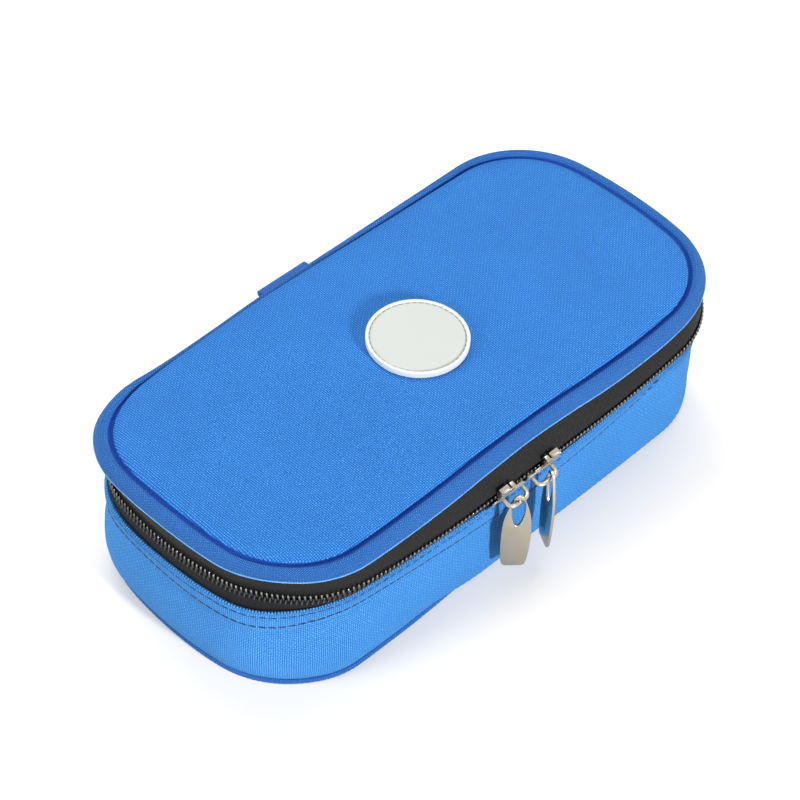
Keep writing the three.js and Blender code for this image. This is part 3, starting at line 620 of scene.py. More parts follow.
for name, z, climb, thick in (("hem_stitches_low", 24.95, climb_low, 0.30),
                              ("hem_stitches_high", 29.35, climb_high, 0.22)):
    sew(name, places_round(base_round, 2.9, hem_row(z, climb)), (1.225, thick, thick), navy_thread,
        "base", "blue_fabric")
sew("seam_stitches", places_round(base_round, 2.4, lambda way: wall_point(way, -0.15, 2.6)),
    (0.8, 0.2, 0.2), blue_thread, "base", "blue_fabric")
# the folded edge shows the ends of the cloth's coarse yarns, one beside the other
pale_yarn = thread_finish("pale_yarn", (0.10, 0.42, 0.95))
sew("hem_yarn_ends", places_round(base_round, 0.95, lambda way: wall_point(way, -0.15, 31.12)),
    (0.26, 0.36, 0.36), pale_yarn, "base", "blue_fabric")


# ---- Lid's bound edge ----
# A bias strip of the blue cloth is folded over the lid's raw edges. It lies flat, a little above
# the groove beside the padded panel. A thin roll of paler cloth along its lower edge is a painted
# highlight where the fold catches the light.
lid_size = (205.0, 100.5, 33.0)
lid_round = bowed_outline(*lid_size)
# where the lid's lower edge lies, how far its outline is drawn in or out, and how much it rises
edge_low = ((0, 49.5), (0.12, 49.1), (0.24, 48.3), (0.38, 47.9), (0.48, 48.2), (0.6, 49.4),
            (0.72, 50.4), (0.84, 50.2), (1, 50.3), (1.16, 50.6), (1.3, 50.2), (1.42, 48.6),
            (1.49, 46.1), (1.56, 45.7), (2, 45.7), (2.44, 45.7), (2.51, 46.1), (2.6, 48.2),
            (2.8, 49.2), (3, 50), (3.13, 50.7), (3.28, 51.2), (3.37, 50.9), (3.45, 50.1),
            (3.55, 48.5), (3.66, 48), (3.77, 48.3), (3.88, 49), (4, 49.5))
lid_out = ((0, -0.75), (0.14, -0.5), (0.26, -0.1), (0.42, 0.1), (0.56, -0.1), (0.7, -0.5),
           (0.86, 0), (1, 0.3), (1.15, 1.3), (1.3, 1.1), (1.42, -0.5), (1.55, -1.3), (1.7, -0.8),
           (1.85, 0), (2, 0.2), (2.3, 0.3), (2.5, 0.7), (2.7, 1), (2.85, 0.7), (3, 0.1),
           (3.13, -0.4), (3.28, -0.9), (3.43, -0.8), (3.55, -0.1), (3.66, 0.1), (3.77, 0),
           (3.88, -0.5), (4, -0.75))
lid_rise = ((0, 0.35), (0.14, 0.25), (0.36, -0.35), (0.48, -0.35), (0.72, 0.5), (0.86, 0.9),
            (1, 1.3), (1.14, 1.4), (1.28, 0.9), (1.45, -0.1), (1.65, -0.7), (1.9, -0.7),
            (2.2, -0.3), (2.45, 0), (2.7, 0.2), (3, 0.8), (3.13, 1.3), (3.28, 1.6), (3.37, 1.2),
            (3.45, 0.7), (3.55, 0), (3.66, -0.35), (3.86, 0.2), (4, 0.35))


def lid_edge(way, walked):
    """Where the lid's lower edge lies, as (out, height) from the lid's outline."""
    return (-0.15 + along(lid_out, way) + 0.12 * wobble(walked, 30, 6),
            along(edge_low, way) + 0.10 * wobble(walked, 12, 7))


def binding_at(way, walked):
    out, low = lid_edge(way, walked)
    rise = along(lid_rise, way)
    ridge = 52.45 + rise + 0.10 * wobble(walked, 18, 8)
    lift = ridge - low
    inner = -4.35 + along(lid_out, way)
    return [
        (out - 3.2, low - 0.9), (out - 1.6, low - 0.75), (out - 0.5, low - 0.35), (out, low),
        (out + 0.06, low + 0.30), (out - 0.02, low + 0.62), (out - 0.20, low + 0.30 * lift),
        (out - 0.55, low + 0.52 * lift), (out - 1.05, low + 0.74 * lift),
        (out - 1.70, low + 0.91 * lift), (out - 2.45, ridge), (out - 3.20, ridge - 0.06),
        (inner + 0.55, ridge - 0.42), (inner + 0.12, ridge - 1.05), (inner, ridge - 2.1),
        (inner + 0.05, 48.9),
    ]


lid_edge_round = bowed_outline(*lid_size, step=1.6)
settle(run_round("lid_binding_roll", lid_edge_round, binding_at), blue_bias, "lid",
       "blue_binding", "lid_binding", degrees=60)


def fold_at(way, walked):
    out, low = lid_edge(way, walked)
    return [(out - 0.06 + 0.30 * math.cos(2 * math.pi * i / 8),
             low + 0.05 + 0.30 * math.sin(2 * math.pi * i / 8)) for i in range(8)]


# the fold's paler cloth is a painted highlight
fold_highlight = woven("fold_highlight", (0.17, 0.44, 0.88), (0.33, 0.62, 0.98), (0.07, 0.28, 0.70),
                  warp=0.5, weft=0.45, turn=math.radians(45))
settle(run_round("binding_fold", lid_edge_round, fold_at), fold_highlight, "lid", "blue_binding")


# ---- Padded lid panel ----
# The blue cloth is drawn over foam and a stiffener, so it crowns a little in the middle and turns
# down into the groove beside the bound edge.
def swell(piece, pressure, cap, stiff):
    """Blows a closed cloth piece up, holding its pinned points, and moves no point past a cap."""
    before = [vertex.co.copy() for vertex in piece.data.vertices]
    frames = 20
    cloth = piece.modifiers.new("filling", "CLOTH")
    settings = {
        "quality": 6, "mass": 0.3, "tension_stiffness": stiff, "compression_stiffness": stiff / 2,
        "shear_stiffness": stiff / 3, "bending_stiffness": 0.5, "air_damping": 4,
        "use_pressure": True, "uniform_pressure_force": pressure, "vertex_group_mass": "pinned"}
    for key, value in settings.items():
        setattr(cloth.settings, key, value)
    cloth.settings.effector_weights.gravity = 0
    cloth.point_cache.frame_start = 1
    cloth.point_cache.frame_end = frames
    for i in range(1, frames + 1):
        bpy.context.scene.frame_set(i)
    take(piece)
    bpy.ops.object.modifier_apply(modifier=cloth.name)
    bpy.context.scene.frame_set(1)
    for vertex, start in zip(piece.data.vertices, before):
        moved = vertex.co - start
        if moved.length > 1e-7:
            vertex.co = start + moved.normalized() * cap * mm * math.tanh(
                moved.length / (cap * mm))


def rounder(piece):
    """One more subdivision, applied."""
    modify(piece, "SUBSURF", levels=1, render_levels=1)


def held_at(piece, weight, wanted):
    """Pins the points that a test picks."""
    pinned = piece.vertex_groups.new(name="pinned")
    pinned.add([v.index for v in piece.data.vertices if wanted(v.co)], weight, "REPLACE")


def inside_of(outline, point):
    """How far inside an outline a point lies, in mm."""
    x, y = point.x / mm, point.y / mm
    return min((x - s[0]) ** 2 + (y - s[1]) ** 2 for s in outline) ** 0.5


def ringed(name, outline, levels, shifted):
    """A skin over rings inside an outline. A level is (out, height, share of the way out)."""
    rows = []
    for x, y, nx, ny, walked in outline:
        rows.append([tuple(shifted(Vector(((x + out * nx) * share, (y + out * ny) * share, z)),
                                   nx, ny, walked)) for out, z, share in levels])
    return laid_out(name, rows, [s[4] for s in outline])


panel_levels = [(-8, 50.02, share) for share in (0.0, 0.4, 0.8)]
panel_levels += [(out, z, 1) for out, z in (
    (-8, 50.02), (-4.2, 50.02), (-4.2, 50.1), (-5.2, 50.1), (-5.45, 50.15), (-5.55, 50.4),
    (-5.65, 51.2), (-5.9, 51.8), (-6.4, 52.25), (-7.2, 52.6), (-8.2, 52.8))]
panel_levels += [(-8, 52.9, share) for share in (0.97, 0.94, 0.90, 0.85, 0.80, 0.74, 0.68, 0.61,
                                                0.54, 0.46, 0.38, 0.30, 0.22, 0.14, 0.07, 0.0)]

# at the back the panel swells over the groove and hides it
panel_out = ((0, 0), (1.32, 0), (1.45, 0.9), (1.6, 2.3), (1.85, 2.4), (2.1, 1.7), (2.4, 0.9),
             (2.6, 0.3), (2.8, 0), (4, 0))
panel_rise = ((0, 0), (1.4, 0), (1.6, 1.2), (1.9, 1.3), (2.2, 0.7), (2.5, 0.2), (2.7, 0), (4, 0))


def drawn_in(point, nx, ny, walked):
    """Follows the bound edge, less and less toward the middle."""
    near = math.exp(-max(0.0, inside_of(lid_round, point * mm) - 5.0) / 12.0)
    way = way_round(lid_round, walked)
    shift = (along(lid_out, way) + along(panel_out, way)) * near
    rise = (along(lid_rise, way) + along(panel_rise, way)) * near
    return point + Vector((nx * shift, ny * shift, rise if point.z > 50.2 else 0.0))


lid_panel = ringed("lid_panel", bowed_outline(*lid_size, step=2.2), panel_levels, drawn_in)
turned_down, highest = 51.6, 54.3
held_at(lid_panel, 1.0, lambda co: co.z < turned_down * mm)
swell(lid_panel, 3.0, 0.5, stiff=25)
for vertex in lid_panel.data.vertices:
    if vertex.co.z > turned_down * mm:
        inside = max(0.0, inside_of(lid_round, vertex.co) - 5.0)
        crown = 0.75 * (1 - math.exp(-inside / 9.0))
        sway = 0.30 * noise.noise(vertex.co * 26) * (1 - math.exp(-inside / 6.0))
        vertex.co.z = min(vertex.co.z + (crown + sway) * mm, highest * mm)
rounder(lid_panel)
flat_uv(lid_panel)


# A strip of very dark blue cloth lies in the groove beside the bound edge: painted shade for the
# deep groove.
def groove_shade_at(way, walked):
    shift, rise = along(lid_out, way), along(lid_rise, way) - along(panel_rise, way)
    return [(out + shift, z + rise) for out, z in (
        (-4.2, 51.35), (-4.55, 51.0), (-5.1, 50.95), (-5.75, 51.35), (-6.0, 50.4), (-4.2, 50.4))]


groove_shade_cloth = woven("groove_shade_cloth", (0.006, 0.055, 0.40), (0.03, 0.16, 0.62), (0.002, 0.02, 0.15),
                  warp=0.5, weft=0.45, relief=0.1)
settle(run_round("groove_shade_strip", bowed_outline(*lid_size, step=2.0), groove_shade_at),
       groove_shade_cloth, "lid", "blue_fabric")
# The lid's cloth is the same blue cloth as the walls', coloured darker: painted shade.
lid_cloth = woven("lid_cloth", (0.036, 0.262, 0.89), (0.13, 0.50, 0.97), (0.004, 0.052, 0.22),
                  warp=0.74, weft=0.60, relief=0.3)
settle(lid_panel, lid_cloth, "lid", "blue_fabric", "lid_cover", degrees=60)


# ---- Badge ----
# A round patch of pale soft plastic with a raised rim is sewn on the middle of the lid. A ring of
# stitches runs in a groove inside the rim, and its face is bare.
badge_x, badge_y, badge_z = 1.5, 0.0, 54.52
bpy.ops.mesh.primitive_cylinder_add(vertices=112, radius=16.05 * mm, depth=1.9 * mm)
badge = bpy.context.object
badge.name = "badge_patch"
for vertex in badge.data.vertices:
    vertex.co += Vector((badge_x, badge_y, badge_z)) * mm


def on_faces(piece, wanted, *steps):
    """Runs steps in edit mode on the faces that a test picks."""
    for thing in (*piece.data.vertices, *piece.data.edges):
        thing.select = False
    for face in piece.data.polygons:
        face.select = wanted(face)
    take(piece)
    bpy.ops.object.mode_set(mode="EDIT")
    for step in steps:
        step()
    bpy.ops.object.mode_set(mode="OBJECT")


def step_face(piece, wanted, inset, drop):
    """Insets the picked face and moves the new one down, or up where the drop is negative."""
    on_faces(piece, wanted, lambda: bpy.ops.mesh.inset(thickness=inset * mm),
             lambda: bpy.ops.transform.translate(value=(0, 0, -drop * mm)))


def top_face(face):
    return len(face.vertices) > 50 and face.normal.z > 0.9


# from the edge inward: the rim's crest and flat, the groove's wall and floor, and the face
for inset, drop in ((0.25, -0.12), (0.65, 0.0), (0.20, 0.50), (0.34, 0.0), (0.18, -0.12),
                    (0.6, 0.0)):
    step_face(badge, top_face, inset, drop)
soften(badge, 0.14, segments=3, degrees=28)
pale_patch, tree, shader = blank_material("pale_patch")
place = node(tree, "ShaderNodeTexCoord").outputs["Object"]
grain = node(tree, "ShaderNodeTexVoronoi", {"Vector": place, "Scale": 1900.0})
cloudy = noise_of(tree, place, 60.0, 4.0)
paint = mix_of(tree, cloudy, (0.47, 0.49, 0.47), (0.51, 0.535, 0.51))
flat_place = node(tree, "ShaderNodeVectorMath", {0: place, 1: (1.0, 1.0, 0.0)},
                  operation="MULTIPLY").outputs[0]
from_middle = node(tree, "ShaderNodeVectorMath", {
    0: flat_place, 1: (badge_x * mm, badge_y * mm, 0.0)}, operation="DISTANCE").outputs["Value"]
on_rim = math_of(tree, "GREATER_THAN", from_middle, 15.0 * mm)
fill(shader, {"Base Color": mix_of(tree, on_rim, paint, (0.62, 0.645, 0.63)),
              "Normal": bump_of(tree, grain.outputs["Distance"], 0.05, 0.35),
              "Roughness": math_of(tree, "MULTIPLY_ADD", cloudy, 0.25, 0.38)})
settle(badge, pale_patch, "lid", "badge", "badge")

brown_thread = thread_finish("brown_thread", (0.30, 0.27, 0.235))
ring, ring_height, count = 14.78, 55.12, 44
turns = [2 * math.pi * i / count for i in range(count)]
ring_places = [facing(badge_x + ring * math.cos(a), badge_y + ring * math.sin(a), ring_height,
                      math.cos(a), math.sin(a)) for a in turns]
sew("badge_stitches", ring_places, (0.86, 0.12, 0.12), brown_thread, "lid", "badge")


# ---- Zip ----
# Two black woven tapes carry the rows of a nylon coil. The lower tape is sewn inside the hem, the
# upper one under the lid's bound edge, and the coil's loops mesh between them.
zip_out = ((0, 3.4), (0.19, 3.3), (0.27, 3.2), (0.34, 2.8), (0.455, 2.1), (0.57, 0.6), (0.72, -1.1),
           (0.86, -0.6), (1, -0.1), (1.14, 0.2), (1.28, -0.2), (1.42, -0.4), (2, -0.2), (2.6, 0),
           (3, 0.6), (3.13, 1), (3.28, 1.3), (3.43, 1.9), (3.55, 2.6), (3.66, 3.1), (3.77, 3.4),
           (4, 3.4))
zip_height = ((0, 37.9), (0.34, 38.2), (0.455, 38.5), (0.57, 39), (0.72, 39.4), (0.86, 38.7),
              (1, 38.1), (1.2, 38.6), (1.42, 38), (2, 37.9), (3, 38.2), (3.2, 38.5), (3.37, 38.6),
              (3.55, 38), (3.7, 37.6), (3.86, 37.8), (4, 37.9))
zip_tilt = ((0, 20), (0.34, 18), (0.455, 14), (0.57, 6), (0.72, 0), (2, 0))


def zip_point(way, proud, across):
    """A point in the zip's own plane, as (out, height): across points up, proud points outward."""
    tilt = math.radians(along(zip_tilt, way))
    return (along(zip_out, way) + proud * math.cos(tilt) + across * math.sin(tilt),
            along(zip_height, way) - proud * math.sin(tilt) + across * math.cos(tilt))


whole_zip_round = bowed_outline(*base_size, step=1.6)
zip_end = 68.4      # how far from the back's middle each end of the zip lies
zip_start = next(s[4] for s in whole_zip_round if s[0] < -zip_end)
zip_round = [s for s in whole_zip_round if s[4] >= zip_start]


def tape(name, sign, far):
    """A tape from the coil to its sewn edge, as a closed thin section."""
    def section(way, walked):
        face = [zip_point(way, -0.45, sign * 0.25), zip_point(way, -0.42, sign * 1.5),
                zip_point(way, -0.34, sign * 2.5), zip_point(way, -0.20, sign * 3.2)]
        bow = 0.12 * wobble(walked, 18, 9) + 0.10
        (o1, z1), (o2, z2) = face[-1], far(way, walked)[0]
        for t in (0.25, 0.5, 0.75):
            face.append((o1 + (o2 - o1) * t + bow * math.sin(math.pi * t), z1 + (z2 - z1) * t))
        face += far(way, walked)
        back = [(out - 0.5, z) for out, z in reversed(face)]
        return face + back
    return run_round(name, zip_round, section, whole=whole_zip_round)


def under_binding(way, walked):
    out, low = lid_edge(way, walked)
    return [(out + 1.45, low - 1.4), (out + 1.25, low - 0.45)]


def inside_hem(way, walked):
    return [wall_point(way, out, z) for out, z in ((-1.02, 31.4), (-1.05, 29.5), (-1.05, 24.5))]


def close_ends(piece):
    """Closes the open ends of a band."""
    edit(piece, lambda: bpy.ops.mesh.select_all(action="DESELECT"),
         lambda: bpy.ops.mesh.select_mode(type="EDGE"),
         lambda: bpy.ops.mesh.select_non_manifold(extend=False),
         lambda: bpy.ops.mesh.fill_holes(sides=0), face_out,
         lambda: bpy.ops.mesh.select_mode(type="VERT"))


black_tape = woven("black_tape", (0.009, 0.0092, 0.0095), (0.036, 0.037, 0.039),
                   (0.004, 0.004, 0.005), warp=0.48, weft=0.40, relief=0.08, sheen=0.0,
                   sheen_tint=(1, 1, 1), roughness=0.6, sparkle=3.4)
for name, sign, far, body, stands_for in (
        ("tape_upper", 1, under_binding, "lid", "zip_tape_upper"),
        ("tape_lower", -1, inside_hem, "base", "zip_tape_lower")):
    piece = tape(name, sign, far)
    close_ends(piece)
    settle(piece, black_tape, body, "black_zip", stands_for, degrees=50)

coil_black, tree, shader = blank_material("coil_black")
scuff = noise_of(tree, node(tree, "ShaderNodeTexCoord").outputs["Object"], 700.0, 3.0)
painted_glint = node(tree, "ShaderNodeAttribute", attribute_name="painted_glint").outputs["Fac"]
dark = mix_of(tree, scuff, (0.004, 0.004, 0.005), (0.016, 0.016, 0.018))
# the pale colour on the loops' heads is a painted glint
fill(shader, {"Base Color": mix_of(tree, painted_glint, dark, (0.19, 0.18, 0.165)),
              "Roughness": math_of(tree, "MULTIPLY_ADD", scuff, 0.24, 0.14),
              "Coat Weight": 0.45, "Coat Roughness": 0.08})

loop_pitch, half_pitch = 1.57, 0.78
for name, sign, body, stands_for in (("coil_upper", 1, "lid", "zip_teeth_upper"),
                                     ("coil_lower", -1, "base", "zip_teeth_lower")):
    loops = []
    shift = half_pitch if sign > 0 else 0.0
    for x, y, nx, ny, walked in walk(base_round, loop_pitch, zip_start + 1.5 + shift,
                                     zip_round[-1][4] - 2.4 + shift):
        way = way_round(base_round, walked)
        out, z = zip_point(way, 0.12 + sign * 0.22, sign * 1.12)
        tilt = math.radians(along(zip_tilt, way))
        loops.append(facing(x + out * nx, y + out * ny, z, nx, ny, tilt)
                     @ Matrix.Rotation(math.radians(-90 + sign * 9), 4, "Y"))
    model = bead(1.22, 0.56, 0.36, segments=8, rings=8, blunt=0.5)
    # the outer side of each loop's head is painted pale as a painted glint, brightest on the upper
    # row
    painted_glint = model.data.attributes.new("painted_glint", "FLOAT", "POINT")
    for i, vertex in enumerate(model.data.vertices):
        head = -sign * vertex.co.x > 0.2 * mm and vertex.co.y > 0.1 * mm
        painted_glint.data[i].value = (1.0 if sign > 0 else 0.25) if head else 0.0
    settle(copies(model, name, loops), coil_black, body, "black_zip", stands_for, degrees=60)


# ---- Sliders ----
# Two die-cast nickel sliders face each other on the coil. Each is two plates joined by a post,
# with flanges that hold the coil in, a block at its closed end and a wire loop for its pull.
def polished(name, colour, roughness):
    """Plated metal with faint wear and brushing."""
    material, tree, shader = blank_material(name)
    place = node(tree, "ShaderNodeTexCoord").outputs["Object"]
    wear = noise_of(tree, place, 260.0, 4.0)
    brushed = node(tree, "ShaderNodeMapping", {"Vector": place, "Scale": (1, 1, 0.06)}).outputs[0]
    worn = tuple(c * 0.86 for c in colour)
    fill(shader, {"Base Color": mix_of(tree, wear, worn, colour), "Metallic": 1.0,
                  "Roughness": math_of(tree, "MULTIPLY_ADD", wear, 0.10, roughness),
                  "Normal": bump_of(tree, noise_of(tree, brushed, 5200.0, 2.0), 0.004, 0.25)})
    return material


nickel = polished("nickel", (0.60, 0.545, 0.46), 0.17)
# the slider bodies take a darker copy of the same nickel: painted shade for their darker
# reflections
shaded_nickel = polished("shaded_nickel", (0.47, 0.43, 0.365), 0.22)


def cut_plate(name, outline, near, far, soft):
    """A plate cut to an outline of (along, up) points, from near to far out of the zip's plane."""
    piece = cut_out(name, outline, near, far, order=(0, 2, 1))
    if soft:
        soften(piece, soft, segments=3, degrees=40)
    return piece


def block(x0, x1, z0, z1):
    return ((x0, z0), (x1, z0), (x1, z1), (x0, z1))


def shield(narrow, wide):
    """A slider plate's outline, wider toward the end that takes in the open zip."""
    upper = ((6.4, wide * 0.95), (3.4, wide), (0.0, wide), (-3.4, narrow * 1.03),
             (-6.5, narrow), (-7.1, narrow * 0.75))
    return ((7.0, wide * 0.7),) + upper + tuple((x, -z) for x, z in reversed(upper)) \
        + ((7.0, -wide * 0.7),)


def as_mesh(name, rings, closed, **settings):
    """A curve through rings of points in mm, with its own settings, made into a mesh."""
    curve = bpy.data.curves.new(name, "CURVE")
    for key, value in settings.items():
        setattr(curve, key, value)
    for ring in rings:
        spline = curve.splines.new("POLY")
        spline.points.add(len(ring) - 1)
        spline.use_cyclic_u = closed
        for knot, (x, y, z) in zip(spline.points, ring):
            knot.co = (x * mm, y * mm, z * mm, 1)
    made = bpy.data.objects.new(name, curve)
    bpy.context.collection.objects.link(made)
    take(made)
    bpy.ops.object.convert(target="MESH")
    return bpy.context.object


def crown_points():
    """The crown's wire: out from the plate, round two bends and back in."""
    points = [(-4.05, -1.9, 0.0)]
    for i in range(9):
        angle = math.pi / 2 * i / 8
        points.append((-2.05 - 2.0 * math.cos(angle), -3.5 - 2.0 * math.sin(angle), 0.0))
    return points + [(-x, y, z) for x, y, z in reversed(points)]


def stand_at(x):
    """The slider's own axes, at its place along the zip: Y runs into the zip's tilted plane."""
    return (Matrix.Translation(Vector((x, -51.25, 37.9)) * mm)
            @ Matrix.Rotation(math.radians(20), 4, "X"))


# side, which way the open end faces, where the body and the pull stand, and how far the front
# plate is off the body, along the front
slider_kinds = (("left", 1, -11.6, -11.6, 1.6), ("right", -1, 2.0, 4.0, 0.0))
for side, open_end, x, _, plate_off in slider_kinds:
    parts = [
        cut_plate("front_plate", shield(3.85, 3.95), -2.15, -1.6, 0.12),
        cut_plate("back_plate", shield(2.1, 2.5), 1.25, 2.15, 0.28),
        cut_plate("top_flange", block(-6.1, 3.6, 1.8, 2.3), -1.7, -1.1, 0.12),
        cut_plate("bottom_flange", block(-6.1, 5.0, -3.95, -3.2), -0.75, 0.0, 0.15),
        cut_plate("top_block", block(-5.8, -2.2, 2.2, 5.5), -1.95, 0.15, 0.0),
        cut_plate("top_fin", block(-1.6, 0.0, 2.2, 5.5), -1.95, 0.15, 0.2),
        cut_plate("bridge", block(-2.3, -1.5, 2.2, 5.3), -1.95, -1.6, 0.05),
        cut_plate("post", block(2.7, 5.8, -0.42, 0.42), -1.5, 1.5, 0.15),
    ]
    front_plate, top_block = parts[0], parts[4]
    # the front plate leans, its lower edge nearer the coil
    for vertex in front_plate.data.vertices:
        vertex.co.z *= 0.64 if vertex.co.z > 0 else 1.0
        vertex.co.y += (2.5 * mm - vertex.co.z) * 0.20
        vertex.co.x -= plate_off * mm
    step_face(top_block, lambda face: face.normal.z > 0.9, 0.42, 0.35)
    soften(top_block, 0.12, degrees=30)
    slider = joined("slider_body_" + side, parts)
    slider.data.transform(Matrix.Diagonal((open_end, 1, 1, 1)))
    edit(slider, face_out)
    slider.data.transform(stand_at(x))
    settle(slider, shaded_nickel, "slider_%s_body" % side, "nickel", "slider_" + side)

    crown = as_mesh("slider_loop_" + side, [crown_points()], False, dimensions="3D",
                    bevel_depth=0.75 * mm, bevel_resolution=4, use_fill_caps=True)
    crown.data.transform(stand_at(x) @ Matrix.Translation((open_end * 0.5 * mm, 0, 0)))
    settle(crown, nickel, "slider_%s_body" % side, "nickel", "slider_%s_crown" % side)


# ---- Pulls ----
# Each pull is a leaf stamped from nickel-plated sheet, with a drop-shaped hole near its top by
# which it hangs free on the slider's wire loop.
def through(knots, steps=5):
    """Points of a smooth curve through knots."""
    points = []
    for k in range(len(knots) - 1):
        a, b, c, d = (Vector(knots[min(max(k + i, 0), len(knots) - 1)]) for i in (-1, 0, 1, 2))
        for i in range(steps):
            t = i / steps
            points.append(b + 0.5 * t * (c - a + t * (2 * a - 5 * b + 4 * c - d
                                                      + t * (3 * b - a - 3 * c + d))))
    return points + [Vector(knots[-1])]


def pull_leaf(name):
    """A leaf and its hole as one filled flat curve, thickened with rounded edges."""
    top = 2.85
    # half widths of the leaf and of its hole, with how far down from the leaf's top
    half_leaf = ((0, 0), (0.9, 0.22), (1.6, 0.95), (1.95, 2), (2.75, 4.4), (3.6, 7.6), (4.2, 10.8),
                 (4.45, 14), (4.55, 17.5), (4.5, 21.4), (4.38, 24.5), (4.18, 26.8), (3.95, 28.8),
                 (3.7, 30.1), (3.35, 30.95), (2.75, 31.42), (1.9, 31.5), (0, 31.5))
    half_hole = ((0, 1.5), (0.8, 1.62), (1.5, 2.15), (1.95, 3.3), (2.05, 5), (1.95, 7.3),
                 (1.55, 10), (1.1, 11.7), (0.7, 12.6), (0.35, 13.1), (0, 13.25))
    rings = []
    for half in (half_leaf, half_hole):
        right = [(x, top - down, 0) for x, down in through(half)]
        rings.append(right + [(-x, y, 0) for x, y, _ in reversed(right[1:-1])])
    made = as_mesh(name, rings, True, dimensions="2D", fill_mode="BOTH", extrude=0.28 * mm,
                   bevel_depth=0.22 * mm, bevel_resolution=3, offset=-0.22 * mm)
    edit(made, lambda: bpy.ops.mesh.remove_doubles(threshold=0.000002), face_out)
    made.data.transform(Matrix.Rotation(math.radians(90), 4, "X"))
    return made


# how far a pull is turned about its length, in degrees, and how far off the middle it hangs
for (side, open_end, _, x, _), (turn, shift) in zip(slider_kinds, ((-42.0, -0.4), (62.0, -0.9))):
    hang = (stand_at(x) @ Matrix.Translation(Vector((open_end * 0.5 + shift, -5.5, 0)) * mm)
            @ Matrix.Rotation(math.radians(-20), 4, "X")
            @ Matrix.Rotation(math.radians(turn), 4, "Z"))
    pull = pull_leaf("pull_leaf_" + side)
    pull.data.transform(hang)
    settle(pull, nickel, "pull_%s_body" % side, "nickel", "pull_" + side)


# ---- Zip end stops ----
# A small nickel clip is pressed round both tapes past the last loop at each back corner, so that
# the sliders can't run off the coil. It is stamped, with a panel sunk in each broad face.
for side, sign in (("left", -1), ("right", 1)):
    low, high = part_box("zip_end_stop_" + side)
    bpy.ops.mesh.primitive_cube_add(size=1)
    clip = bpy.context.object
    clip.name = "end_clip_" + side
    clip.data.transform(Matrix.Diagonal((3.0 * mm, 1.7 * mm, 6.2 * mm, 1)))
    on_faces(clip, lambda face: abs(face.normal.y) > 0.9,
             lambda: bpy.ops.mesh.inset(thickness=0.6 * mm, depth=-0.22 * mm, use_individual=True))
    soften(clip, 0.25, segments=3, degrees=30)
    clip.data.transform(Matrix.Translation((low + high) / 2)
                        @ Matrix.Rotation(math.radians(sign * -8), 4, "Z"))
    settle(clip, nickel, "base", "nickel", "zip_end_stop_" + side)


# ---- Spine, its seam and the hanging loop ----
# The blue cloth joins the base and the lid at the back between the ends of the zip. A folded
# piece of webbing is sewn across its middle for hanging.
def strip_along_x(name, reach, section_at, step=2.0):
    """A band whose section, as (y, height) points, runs straight along the case."""
    count = max(2, round(2 * reach / step))
    xs = [-reach + 2 * reach * i / count for i in range(count + 1)]
    rows = []
    for x in xs:
        section = section_at(x)
        rows.append([(x, y, z) for y, z in section + section[:1]])
    piece = laid_out(name, rows, xs)
    close_ends(piece)
    return piece


def spine_section(x):
    sway = 0.22 * noise.noise(Vector((x * 0.05, 3.1, 0.0)))
    face = [(49.6, 27.6), (50.6, 28.6), (51.15, 30.0), (51.3, 31.0), (51.4 + sway, 33.5),
            (51.55 + sway, 36.5), (51.6 + sway, 39.5), (51.5 + sway, 42.0), (51.2, 44.2),
            (50.7, 45.6), (50.2, 46.4)]
    return face + [(y - 0.7, z) for y, z in reversed(face)]


spine_reach = 68.0
spine = strip_along_x("spine_cloth", spine_reach, spine_section)
spine.data.materials.append(blue_cloth)
smooth(spine, 50)
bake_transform(spine)
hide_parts("hinge_spine")


def seam_section(x):
    bulge = 0.08 * noise.noise(Vector((x * 0.3, 7.7, 0.0)))
    return [(48.75, 28.7), (49.2, 28.45), (49.9, 28.5), (50.25 + bulge, 28.9),
            (50.3 + bulge, 29.9), (50.0, 30.5), (49.3, 30.7), (48.75, 30.5)]


settle(strip_along_x("spine_seam_roll", spine_reach, seam_section, 1.5), blue_bias, "base",
       "blue_binding", "hinge_seam_binding", degrees=60)
loop_half = 11.5      # the stitches leave the hanging loop's width free
sew("spine_stitches",
    [facing(x, 51.38, 44.1, 0, 1) for x in range(-66, 67, 3) if abs(x) > loop_half],
    (1.1, 0.2, 0.2), navy_thread, "lid", "blue_fabric")


def strap_section(x):
    face = [(50.9, 40.7), (54.0, 40.75), (57.0, 40.6), (58.6, 40.35), (59.2, 39.8), (59.35, 39.2),
            (59.2, 38.5), (58.6, 37.8), (57.0, 37.5), (54.0, 37.35), (50.9, 37.4)]
    inner = [(50.9, 38.75), (56.2, 38.75), (57.8, 38.9), (58.05, 39.2), (57.8, 39.5),
             (56.2, 39.65), (50.9, 39.6)]
    return face + inner


blue_webbing = woven("blue_webbing", (0.032, 0.14, 0.45), (0.10, 0.29, 0.62),
                     (0.012, 0.08, 0.38), warp=1.0, weft=0.7, relief=0.2, sheen=0.3)
strap = strip_along_x("hanging_strap", 10.0, strap_section, 0.5)
settle(strap, blue_webbing, "lid", "blue_binding", "webbing_loop", degrees=50)
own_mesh(strap)


# ---- Foam and boards inside the layers ----
# White foam fills the wall, the bottom and the lid, and grey boards stiffen the lid and the
# divider. They are sealed in, and only show where a layer is lifted.
def cellular(name, light, dark, scale):
    """Foam or pressed board, with cells or flecks through it."""
    material, tree, shader = blank_material(name)
    place = node(tree, "ShaderNodeTexCoord").outputs["Object"]
    cells = node(tree, "ShaderNodeTexVoronoi", {"Vector": place, "Scale": scale})
    fleck = noise_of(tree, place, scale * 0.3, 4.0)
    fill(shader, {"Base Color": mix_of(tree, fleck, dark, light), "Roughness": 0.9,
                  "Normal": bump_of(tree, cells.outputs["Distance"], 0.2, 0.5)})
    return material


